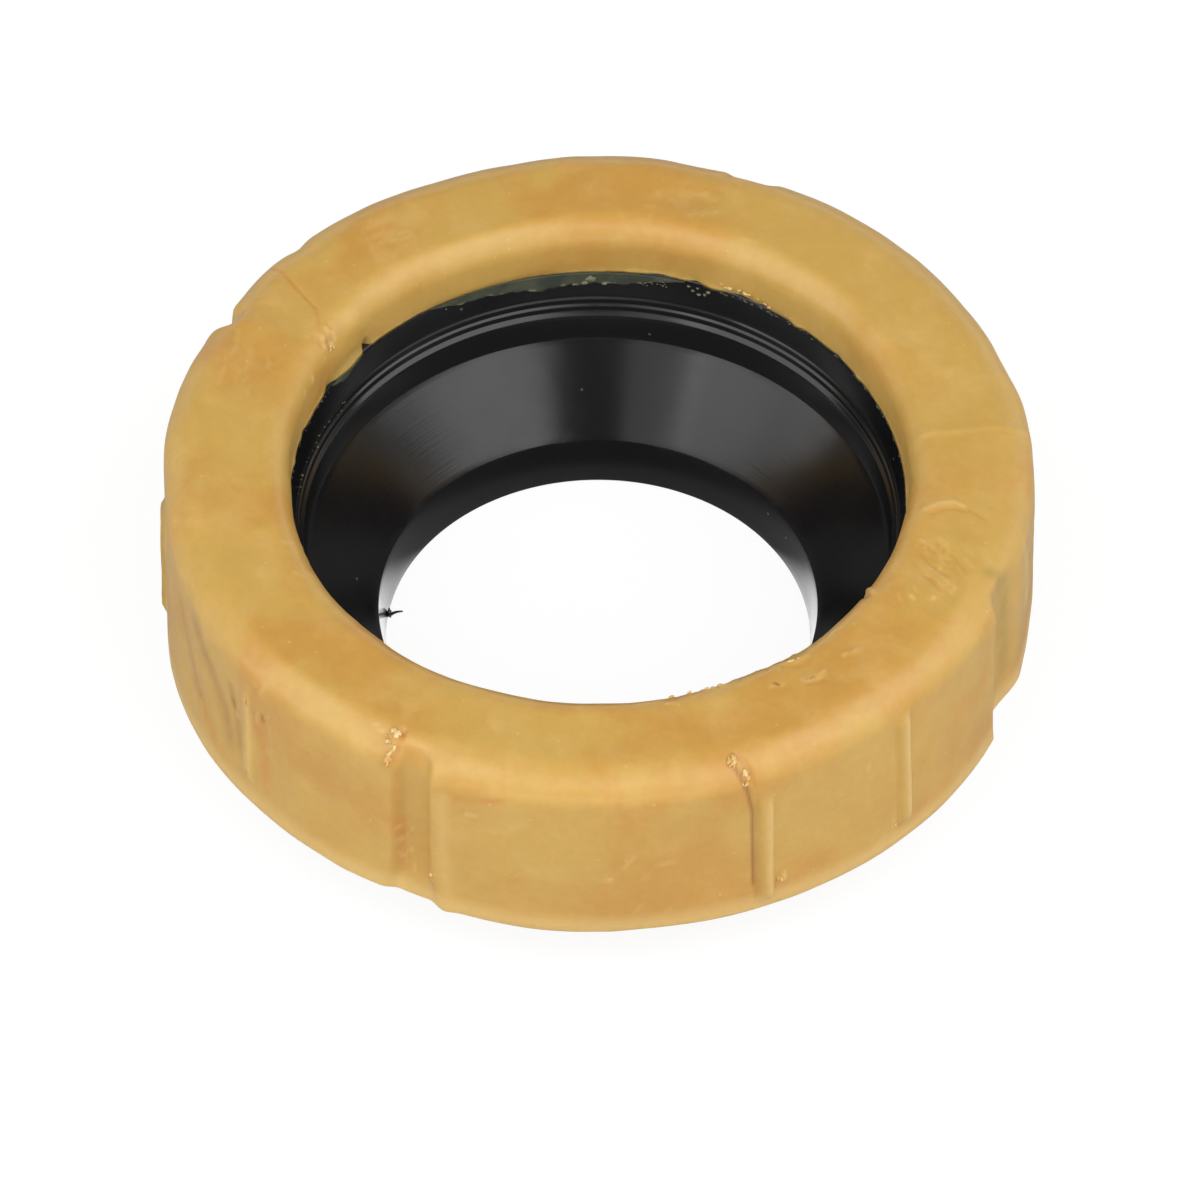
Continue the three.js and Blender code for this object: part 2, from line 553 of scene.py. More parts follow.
@dataclass
class Finish:
    """Start of a finish: an empty material with one shader.

    Attributes:
        shelf: where the shared effects come from.
    """

    shelf: EffectShelf

    def start(self, name: str) -> tuple[bpy.types.Material, Sketch, bpy.types.Node]:
        """Opens a material.

        Args:
            name: the material's name.

        Returns:
            The material, its sketch and its shader node.
        """
        material = bpy.data.materials.new(name)
        material.use_nodes = True
        material.node_tree.nodes.clear()
        sketch = Sketch(material.node_tree)
        shader = sketch.place("ShaderNodeBsdfPrincipled")
        sketch.place("ShaderNodeOutputMaterial", {"Surface": shader.outputs["BSDF"]})
        return material, sketch, shader

    def clouds(
        self, sketch: Sketch, scale: float, drift: float, low: float, high: float
    ) -> tuple[bpy.types.NodeSocket, bpy.types.NodeSocket]:
        """Places soft patches.

        Args:
            sketch: the material's sketch.
            scale: repeats in one metre.
            drift: how far the patches wander, in metres.
            low: cloud level where a patch starts.
            high: cloud level where a patch is full.

        Returns:
            The patches from 0 to 1, and the plain clouds under them.
        """
        inputs = {"Position": sketch.position(), "Scale": scale, "Drift": drift, "Low": low, "High": high}
        node = self.shelf.place(sketch, Effect.MOTTLE, inputs)
        return node.outputs["Patches"], node.outputs["Clouds"]

    def specks(self, sketch: Sketch, scale: float, size: float, share: float) -> bpy.types.NodeSocket:
        """Places sparse specks.

        Args:
            sketch: the material's sketch.
            scale: repeats in one metre.
            size: radius of a speck as a share of its cell.
            share: share of the cells that hold one.

        Returns:
            The specks' mask.
        """
        inputs = {"Position": sketch.position(), "Scale": scale, "Size": size, "Share": share}
        return self.shelf.place(sketch, Effect.SPECKS, inputs).outputs["Mask"]

    def grain(self, sketch: Sketch, scale: float, swell: float) -> bpy.types.NodeSocket:
        """Places fine grain.

        Args:
            sketch: the material's sketch.
            scale: repeats in one metre.
            swell: how strong the slower swell under it is.

        Returns:
            The grain's height.
        """
        inputs = {"Position": sketch.position(), "Scale": scale, "Swell": swell}
        return self.shelf.place(sketch, Effect.GRAIN, inputs).outputs["Height"]

    @staticmethod
    def emboss(
        sketch: Sketch, shader: bpy.types.Node, height: bpy.types.NodeSocket, strength: float, distance: float
    ) -> None:
        """Turns a height into fine relief.

        Args:
            sketch: the material's sketch.
            shader: the shader that takes it.
            height: the relief's height.
            strength: how much of it shows.
            distance: depth that a height of 1 stands for.
        """
        inputs = {"Strength": strength, "Distance": distance, "Height": height}
        sketch.wire(sketch.place("ShaderNodeBump", inputs).outputs[0], shader, "Normal")

    @staticmethod
    def soften(
        shader: bpy.types.Node, weight: float, reach: tuple[float, float, float], depth: float
    ) -> None:
        """Lets light travel under the surface.

        Args:
            shader: the shader.
            weight: share of the light that does.
            reach: how far red, green and blue travel, as shares of the depth.
            depth: the depth.
        """
        shader.inputs["Subsurface Weight"].default_value = weight
        shader.inputs["Subsurface Radius"].default_value = reach
        shader.inputs["Subsurface Scale"].default_value = depth


@dataclass
class HoneyWax(Finish):
    """Soft translucent casting wax, mottled from honey to amber, with stains and torn marks, and painted
    shade, highlights and glow laid through its masks.

    Attributes:
        honey: main colour.
        amber: colour of the wide patches.
        cream: colour of the close patches and of pale marks; the pale mask also lays painted highlights on
            raised wrinkles, beside the groove at 245.5 degrees and along the lip's edge, and a painted pale
            glow at the foot.
        stain_and_painted_light: colour of stains, of painted shade in cut marks and wrinkles, and of a
            painted orange glow along the foot.
        crease_shade: colour of painted shade in creases, cuts, pits and folds.
        green_and_shade: colour of the greenest wax, and of painted shade on the steep flank of the groove at
            336.6 degrees.
        olive_and_shade: darker olive tone over the wall and the ribs, and painted shade inside the grooves
            and along the edge of the groove at 245.5 degrees.
        roughness_range: smoothest and roughest.
        glow_depth: how deep light travels.
    """

    honey: Colour = screen_tone(207, 166, 84)
    amber: Colour = screen_tone(203, 149, 68)
    cream: Colour = screen_tone(228, 192, 120)
    stain_and_painted_light: Colour = screen_tone(208, 140, 60)
    crease_shade: Colour = screen_tone(158, 104, 48)
    green_and_shade: Colour = screen_tone(166, 140, 62)
    olive_and_shade: Colour = screen_tone(192, 152, 72)
    roughness_range: Place = (0.36, 0.52)
    glow_depth: float = 1.6 * MM

    def dress(self) -> bpy.types.Material:
        """Builds the wax material.

        Returns:
            The material; it reads the masks stain_and_painted_light, pale, crease_shade, green_and_shade and
            olive_and_shade.
        """
        material, sketch, shader = self.start("honey_wax")
        wide, _ = self.clouds(sketch, 48.0, 0.014, 0.42, 0.62)
        close, mist = self.clouds(sketch, 170.0, 0.004, 0.45, 0.75)
        uneven = sketch.span(mist, 0.36, 0.62, 0.4, 1.0)
        specks = self.specks(sketch, 560.0, 0.12, 0.13)
        # The olive, stain, green and pale masks lay painted shade, highlights and glow as well as real
        # colour; the crease mask lays painted shade.
        layers = (
            (sketch.sum_up("MULTIPLY", wide, 0.75), self.amber),
            (sketch.sum_up("MULTIPLY", close, 0.25), self.cream),
            (sketch.sum_up("MULTIPLY", sketch.mask("olive_and_shade"), uneven), self.olive_and_shade),
            (sketch.sum_up("MULTIPLY", sketch.mask("stain_and_painted_light"), uneven), self.stain_and_painted_light),
            (sketch.mask("green_and_shade"), self.green_and_shade),
            (sketch.mask("crease_shade"), self.crease_shade),
            (sketch.mask("pale"), self.cream),
            (sketch.sum_up("MULTIPLY", specks, 0.4), self.cream),
        )
        colour: object = self.honey
        for share, over in layers:
            colour = sketch.blend(share, colour, over)
        fine = sketch.noise(sketch.position(), 620.0, detail=3.0, roughness=0.65)
        shade = sketch.span(fine, 0.3, 0.7, 0.975, 1.025)
        tone = sketch.place("ShaderNodeCombineColor", {0: shade, 1: shade, 2: shade}).outputs[0]
        sketch.wire(sketch.blend(1.0, colour, tone, mode="MULTIPLY"), shader, "Base Color")
        sketch.wire(sketch.span(mist, 0.35, 0.65, *self.roughness_range), shader, "Roughness")
        self.emboss(sketch, shader, self.grain(sketch, 640.0, 3.0), 0.16, 0.1 * MM)
        self.soften(shader, 0.22, (1.0, 0.55, 0.22), self.glow_depth)
        shader.inputs["Coat Weight"].default_value = 0.22
        shader.inputs["Coat Roughness"].default_value = 0.26
        return material


@dataclass
class BlackPolyethylene(Finish):
    """Glossy black moulded plastic with fine lines turned round the bore.

    Attributes:
        black: main colour.
        worn: colour of rubbed edges.
        dust: colour of specks of dust.
        roughness_range: smoothest and roughest.
        line_pitch: distance between the turned lines.
    """

    black: Colour = screen_tone(18, 17, 18)
    worn: Colour = screen_tone(46, 45, 48)
    dust: Colour = screen_tone(140, 142, 138)
    roughness_range: Place = (0.17, 0.23)
    line_pitch: float = 0.35 * MM

    def dress(self) -> bpy.types.Material:
        """Builds the plastic material.

        Returns:
            The material; it reads the mask edge.
        """
        material, sketch, shader = self.start("black_polyethylene")
        patches, mist = self.clouds(sketch, 70.0, 0.01, 0.35, 0.7)
        specks = self.specks(sketch, 420.0, 0.09, 0.05)
        worn = sketch.sum_up("MULTIPLY", sketch.mask("edge"), sketch.span(mist, 0.4, 0.6))
        colour = sketch.blend(sketch.sum_up("MULTIPLY", worn, 0.6), self.black, self.worn)
        colour = sketch.blend(sketch.sum_up("MULTIPLY", specks, 0.35), colour, self.dust)
        sketch.wire(colour, shader, "Base Color")
        rough = sketch.span(patches, 0.0, 1.0, *self.roughness_range)
        rougher = sketch.sum_up("ADD", rough, sketch.sum_up("MULTIPLY", worn, 0.1))
        sketch.wire(rougher, shader, "Roughness")
        height = sketch.axis(sketch.position(), "Z")
        inputs = {"W": height, "Scale": 1.0 / self.line_pitch, "Detail": 2.0}
        turned = sketch.place("ShaderNodeTexNoise", inputs, noise_dimensions="1D").outputs[0]
        grain = sketch.sum_up("MULTIPLY", self.grain(sketch, 1100.0, 0.6), 0.4)
        self.emboss(sketch, shader, sketch.sum_up("ADD", turned, grain), 0.12, 0.03 * MM)
        shader.inputs["IOR"].default_value = 1.53
        return material


@dataclass
class SmearedWax(Finish):
    """Thin greasy smear of wax on black plastic, olive where it thins.

    Attributes:
        thick: colour where it is thick.
        thin: colour where the plastic shows through.
        crust: colour of its dried edge.
    """

    thick: Colour = screen_tone(76, 81, 64)
    thin: Colour = screen_tone(58, 64, 54)
    crust: Colour = screen_tone(172, 170, 130)

    def dress(self) -> bpy.types.Material:
        """Builds the smear's material.

        Returns:
            The material; it reads the mask pale.
        """
        material, sketch, shader = self.start("smeared_wax")
        patches, mist = self.clouds(sketch, 210.0, 0.004, 0.38, 0.62)
        specks = self.specks(sketch, 520.0, 0.22, 0.14)
        colour = sketch.blend(patches, self.thin, self.thick)
        colour = sketch.blend(sketch.sum_up("MULTIPLY", specks, 0.6), colour, self.crust)
        sketch.wire(sketch.blend(sketch.mask("pale"), colour, self.crust), shader, "Base Color")
        sketch.wire(sketch.span(mist, 0.3, 0.7, 0.42, 0.6), shader, "Roughness")
        self.emboss(sketch, shader, self.grain(sketch, 900.0, 1.0), 0.5, 0.1 * MM)
        return material


@dataclass
class PaleWax(Finish):
    """Freshly torn wax, paler and rougher than the cast skin.

    Attributes:
        pale: main colour.
        warm: colour of its patches.
    """

    pale: Colour = screen_tone(246, 218, 156)
    warm: Colour = screen_tone(226, 176, 98)

    def dress(self) -> bpy.types.Material:
        """Builds the torn wax material.

        Returns:
            The material.
        """
        material, sketch, shader = self.start("torn_wax")
        patches, mist = self.clouds(sketch, 600.0, 0.001, 0.42, 0.58)
        sketch.wire(sketch.blend(patches, self.pale, self.warm), shader, "Base Color")
        sketch.wire(sketch.span(mist, 0.3, 0.7, 0.35, 0.6), shader, "Roughness")
        self.emboss(sketch, shader, self.grain(sketch, 1800.0, 1.0), 0.6, 0.08 * MM)
        self.soften(shader, 0.2, (1.0, 0.6, 0.3), 0.8 * MM)
        return material


class Tint(Enum):
    """Colour change that goes with a mark, named as the wax's masks are; several carry painted light as well
    as real colour.
    """

    # Stains, with painted shade in cut marks and wrinkles and a painted orange glow at the foot.
    STAIN_AND_PAINTED_LIGHT = "stain_and_painted_light"
    # Torn and pale wax, with painted highlights on raised wrinkles, beside a groove edge and along the lip's
    # edge, and a painted pale glow at the foot.
    PALE_AND_PAINTED_LIGHT = "pale"
    # Painted shade in creases, cuts, pits and folds.
    CREASE = "crease_shade"
    # Greenish wax, and painted shade on the steep flank of the groove at 336.6 degrees.
    GREEN = "green_and_shade"
    # Olive tone over the wall and the ribs, and painted shade in the grooves.
    OLIVE_AND_SHADE = "olive_and_shade"


@dataclass(frozen=True)
class Places:
    """Places on the ring's plain section, as arrays that spread over each other.

    Attributes:
        azimuth: degrees.
        station: distance over the face from the foot.
        radius: radius of the plain section there.
        height: height of the plain section there.
    """

    azimuth: np.ndarray
    station: np.ndarray
    radius: np.ndarray
    height: np.ndarray

    def blank(self) -> np.ndarray:
        """Gives a zero for each place."""
        return np.zeros(np.broadcast(self.azimuth, self.station).shape)

    def across(self, azimuth: float) -> np.ndarray:
        """Gives the distance round the ring from an azimuth, negative clockwise."""
        return np.radians(azimuth_gap(self.azimuth, azimuth)) * self.radius


@dataclass(frozen=True)
class Groove:
    """Grip groove down the wall."""

    azimuth: float
    clockwise: float
    counter: float
    depth: float
    floor_share: float = 0.5
    foot_flare: float = 0.0
    run_out: float = 30.0 * MM
    lip: float = 0.0
    foot_depth: float = 1.0
    # Strength of the painted shade laid inside the groove.
    tint: float = 0.4

    def half_width(self, across: np.ndarray) -> np.ndarray:
        """Gives the half width on the side that each distance from the middle lies on."""
        return np.where(across < 0, self.clockwise, self.counter)

    def relief(self, at: Places) -> np.ndarray:
        """Cuts the groove.

        Args:
            at: the places.

        Returns:
            Distance away from the axis, negative in the groove.
        """
        across = at.across(self.azimuth)
        width = self.half_width(across) + self.foot_flare * bell(at.station, 4.5 * MM)
        cut = 1.0 - smooth_step(self.floor_share, 1.1, np.abs(across) / width)
        fade = 1.0 - smooth_step(self.run_out - 4.5 * MM, self.run_out, at.station)
        swell = self.lip * bell(across - width - 0.9 * MM, 1.1 * MM)
        above_foot = smooth_step(1.0 * MM, 9.0 * MM, at.station)
        depth = self.depth * (self.foot_depth + (1 - self.foot_depth) * above_foot)
        return swell * (1.0 - smooth_step(24.0 * MM, 31.0 * MM, at.station)) - depth * cut * fade


@dataclass(frozen=True)
class Rib:
    """Thin upright rib left on the wall by the mould."""

    azimuth: float
    foot: float
    top: float
    width: float
    proud: float
    softness: float = 0.45 * MM
    fold: float = 0.0
    paleness: float = 0.0
    greenness: float = 0.0
    seam: float = 0.0
    fade: float = 2.0 * MM

    def run(self, at: Places) -> np.ndarray:
        """Gives the share of the rib that is there along its length, from 0 to 1."""
        start = smooth_step(self.foot - 0.7 * MM, self.foot + 0.7 * MM, at.station)
        return start * (1.0 - smooth_step(self.top - self.fade * 0.6, self.top + self.fade * 0.4, at.station))

    def body(self, at: Places) -> np.ndarray:
        """Gives the share of the rib's height at each place.

        Args:
            at: the places.

        Returns:
            Shares from 0 on the wall to 1 on the rib.
        """
        half = self.width / 2
        across = np.abs(at.across(self.azimuth))
        return (1.0 - smooth_step(half - self.softness, half + self.softness / 2, across)) * self.run(at)

    def relief(self, at: Places) -> np.ndarray:
        """Raises the rib and cuts the fold beside it.

        Args:
            at: the places.

        Returns:
            Distance away from the axis.
        """
        fold = self.fold * bell(at.across(self.azimuth) + self.width / 2 + 0.1 * MM, 0.28 * MM)
        return self.proud * self.body(at) - fold * self.run(at)


@dataclass(frozen=True)
class Nick:
    """Break in the lip where the wax meets the collar.

    Attributes:
        azimuth: middle, in degrees.
        width: half width.
        depth: how far the lip stands back, negative where it creeps over the collar.
    """

    azimuth: float
    width: float
    depth: float


@dataclass(frozen=True)
class Swell:
    """Broad rise or hollow of the cast surface.

    Attributes:
        azimuth: middle, in degrees.
        station: middle, as distance over the face from the foot.
        spread: half width round the ring, in degrees.
        reach: half width over the face.
        height: how far it rises, negative for a hollow.
    """

    azimuth: float
    station: float
    spread: float
    reach: float
    height: float

    def relief(self, at: Places) -> np.ndarray:
        """Gives how far the swell rises at each place."""
        across = bell(azimuth_gap(at.azimuth, self.azimuth), self.spread)
        return self.height * across * bell(at.station - self.station, self.reach)


@dataclass(frozen=True)
class Mark:
    """Scratch, fold, nick or ridge drawn along a path on the face.

    Attributes:
        path: places as azimuth in degrees and distance over the face from the foot, in millimetres.
        width: half width, in millimetres.
        height: how far it rises in millimetres, negative for a cut.
        tint: colour change along it.
        strength: how strong the colour change is.
    """

    path: tuple[Place, ...]
    width: float
    height: float
    tint: Tint
    strength: float

    def closeness(self, at: Places) -> np.ndarray:
        """How near each place is to the path.

        Args:
            at: the places.

        Returns:
            Shares from 0 far away to 1 on the path.
        """
        nearest = at.blank() + 1.0
        path = [(a, s * MM) for a, s in self.path]
        for (start_azimuth, start), (end_azimuth, end) in zip(path[:-1], path[1:]):
            along_x = math.radians(end_azimuth - start_azimuth) * at.radius
            along_y = end - start
            here_x = at.across(start_azimuth)
            here_y = at.station - start
            length = along_x**2 + along_y**2 + 1e-12
            share = np.clip((here_x * along_x + here_y * along_y) / length, 0, 1)
            nearest = np.minimum(nearest, np.hypot(here_x - share * along_x, here_y - share * along_y))
        return bell(nearest, self.width * MM)


@dataclass(frozen=True)
class WrinkledPatch:
    """Patch of short wrinkles that a thumb or the mould left."""

    azimuth: float
    station: float
    spread: float
    reach: float
    count: int
    heading: float
    height: float
    strength: float

    def marks(self, rng: np.random.Generator) -> list[Mark]:
        """Draws the wrinkles as marks.

        Args:
            rng: source of their places and lengths.

        Returns:
            One mark for each wrinkle.
        """
        wrinkles = []
        for number in range(self.count):
            azimuth = self.azimuth + self.spread * rng.uniform(-1, 1)
            station = self.station + self.reach * rng.uniform(-1, 1)
            heading = math.radians(self.heading + rng.uniform(-28, 28))
            length = rng.uniform(0.8, 2.6)
            bend = rng.uniform(-0.35, 0.35)
            across = (length * math.cos(heading), length * math.sin(heading))
            middle = (azimuth + across[0] / 2 + bend, station + across[1] / 2 + bend)
            path = ((azimuth, station), middle, (azimuth + across[0], station + across[1]))
            # Raised wrinkles get a painted highlight from the pale tint, cut ones painted shade from the
            # stain tint.
            raised = number % 2 == 0
            tint = Tint.PALE_AND_PAINTED_LIGHT if raised else Tint.STAIN_AND_PAINTED_LIGHT
            height = self.height if raised else -self.height
            width = rng.uniform(0.14, 0.3)
            wrinkles.append(Mark(path, width, height, tint, self.strength * rng.uniform(0.4, 1.0)))
        return wrinkles


@dataclass(frozen=True)
class Ripple:
    """One layer of the unevenness of hand-worked wax.

    Attributes:
        pitch: distance from crest to crest.
        height: typical height.
        waves: how many waves are mixed.
    """

    pitch: float
    height: float
    waves: int


@dataclass
class WaxRing:
    """The cast wax ring, with its grooves, ribs, swells and marks."""

    finish: bpy.types.Material
    draft: float = 1.1 * MM
    shoulder_drop: float = 2.6 * MM
    shoulder_reach: float = 3.6 * MM
    shoulder_roundings: Place = (3.9 * MM, 6.8 * MM)
    foot_rounding: float = 0.55 * MM
    mouth_radius: float = 42.4 * MM
    mouth_rounding: float = 4.2 * MM
    lip_radius: float = 41.9 * MM
    lip_drop: float = 0.3 * MM
    lip_skin: float = 0.1 * MM
    lip_chamfer: float = 1.0 * MM
    lower_bore: float = 42.3 * MM
    collar_bore: float = 43.4 * MM
    cone_top: float = 18.1 * MM
    inner_foot: float = 0.8 * MM
    flange_thickness: float = 1.6 * MM
    seat_gap: float = 0.3 * MM
    face_step: float = 0.55 * MM
    wall_step: float = 0.85 * MM
    columns: int = 820
    crowding: float = 1.5
    crowding_spread: float = 4.0
    marked: tuple[float, ...] = (346.5, 330.0, 303.0, 145.0)
    allowance: float = 0.06 * MM
    # Painted glow along the foot: an orange tint low on the wall and a pale rim at the very foot.
    foot_glow_tint: float = 0.1
    foot_glow_paleness: float = 0.7
    wall_tint: float = 0.12
    lip_tints: tuple[tuple[float, float, float], ...] = (
        (145.0, 7.0, 0.9),
        (95.0, 30.0, 0.3),
        (22.0, 20.0, 0.15),
    )
    seed: int = 11
    unevenness: tuple[Ripple, ...] = (
        Ripple(34.0 * MM, 0.16 * MM, 24),
        Ripple(13.0 * MM, 0.05 * MM, 30),
        Ripple(5.5 * MM, 0.016 * MM, 36),
    )
    grooves: tuple[Groove, ...] = (
        Groove(68.0, 4.0 * MM, 4.0 * MM, 1.0 * MM),
        Groove(151.6, 2.9 * MM, 2.6 * MM, 1.4 * MM, floor_share=0.35, run_out=31.0 * MM, lip=0.15 * MM),
        Groove(245.5, 3.1 * MM, 2.85 * MM, 1.6 * MM, foot_flare=1.3 * MM, lip=0.3 * MM, foot_depth=0.5),
        Groove(336.6, 3.2 * MM, 8.6 * MM, 2.0 * MM, 0.1, run_out=29.0 * MM, foot_depth=0.95, tint=0.5),
    )
    ribs: tuple[Rib, ...] = (
        Rib(183.6, 2.5 * MM, 22.6 * MM, 2.8 * MM, 0.7 * MM, greenness=0.55, seam=1.0),
        Rib(218.0, 5.0 * MM, 22.5 * MM, 2.4 * MM, 0.35 * MM, softness=0.7 * MM, paleness=0.7, fade=5.0 * MM),
        Rib(291.8, 2.2 * MM, 22.0 * MM, 2.2 * MM, 0.6 * MM, fold=0.32 * MM, paleness=0.75, fade=5.0 * MM),
        Rib(313.1, 4.2 * MM, 24.4 * MM, 2.4 * MM, 0.55 * MM, paleness=0.85, fade=2.5 * MM),
    )
    outline: tuple[Swell, ...] = (
        Swell(182.8, 6.0 * MM, 6.8, 40.0 * MM, -0.85 * MM),
        Swell(42.0, 26.0 * MM, 10.0, 16.0 * MM, 0.45 * MM),
        Swell(228.0, 6.0 * MM, 13.0, 24.0 * MM, -0.15 * MM),
        Swell(241.0, 6.0 * MM, 3.0, 24.0 * MM, -0.15 * MM),
        Swell(288.0, 3.0 * MM, 6.0, 12.0 * MM, 0.15 * MM),
        Swell(318.0, 6.0 * MM, 10.0, 24.0 * MM, -0.15 * MM),
        Swell(332.0, 6.0 * MM, 5.0, 24.0 * MM, -0.1 * MM),
        Swell(351.0, 6.0 * MM, 11.0, 28.0 * MM, -0.5 * MM),
        Swell(135.6, 27.0 * MM, 1.7, 9.0 * MM, -0.5 * MM),
        Swell(142.0, 26.0 * MM, 4.0, 9.0 * MM, 0.25 * MM),
        Swell(12.5, 27.0 * MM, 4.0, 4.0 * MM, 0.25 * MM),
    )
    swells: tuple[Swell, ...] = (
        Swell(336.0, 37.0 * MM, 6.0, 4.0 * MM, -0.3 * MM),
        Swell(330.5, 34.0 * MM, 2.0, 2.0 * MM, 0.2 * MM),
        Swell(341.5, 35.0 * MM, 2.0, 2.5 * MM, 0.22 * MM),
        Swell(160.0, 36.0 * MM, 5.0, 3.5 * MM, -0.25 * MM),
        Swell(153.0, 33.0 * MM, 2.2, 2.5 * MM, 0.22 * MM),
        Swell(159.5, 32.0 * MM, 1.6, 1.8 * MM, 0.2 * MM),
        Swell(166.0, 33.0 * MM, 1.8, 1.6 * MM, -0.2 * MM),
        Swell(125.0, 35.0 * MM, 3.5, 2.2 * MM, -0.22 * MM),
        Swell(75.0, 36.0 * MM, 5.0, 2.0 * MM, -0.2 * MM),
        Swell(5.0, 36.0 * MM, 1.2, 9.0 * MM, 0.18 * MM),
        Swell(253.0, 20.0 * MM, 3.0, 2.5 * MM, -0.14 * MM),
        Swell(232.0, 12.0 * MM, 3.0, 4.0 * MM, -0.15 * MM),
        Swell(212.0, 14.0 * MM, 2.5, 5.0 * MM, -0.15 * MM),
        Swell(300.0, 14.0 * MM, 3.5, 5.0 * MM, -0.12 * MM),
        Swell(140.8, 44.0 * MM, 2.5, 2.0 * MM, 0.3 * MM),
        Swell(146.0, 47.5 * MM, 4.0, 2.0 * MM, 0.35 * MM),
    )
    nicks: tuple[Nick, ...] = (
        Nick(139.6, 0.55 * MM, 1.5 * MM),
        Nick(145.2, 3.0 * MM, -0.55 * MM),
        Nick(151.5, 1.2 * MM, 0.5 * MM),
        Nick(78.5, 1.4 * MM, 0.25 * MM),
        Nick(71.0, 0.7 * MM, 0.3 * MM),
        Nick(67.5, 1.3 * MM, -0.3 * MM),
        Nick(61.5, 1.6 * MM, 0.3 * MM),
        Nick(57.0, 0.8 * MM, 0.25 * MM),
        Nick(49.0, 0.8 * MM, -0.3 * MM),
        Nick(38.0, 0.9 * MM, 0.2 * MM),
        Nick(31.0, 0.7 * MM, -0.25 * MM),
        Nick(164.0, 0.8 * MM, 0.2 * MM),
        Nick(172.0, 0.8 * MM, -0.2 * MM),
        Nick(283.0, 0.9 * MM, -0.25 * MM),
        Nick(287.5, 0.5 * MM, 0.25 * MM),
        Nick(295.0, 1.1 * MM, -0.3 * MM),
        Nick(301.0, 0.7 * MM, 0.3 * MM),
        Nick(306.0, 0.8 * MM, -0.25 * MM),
    )
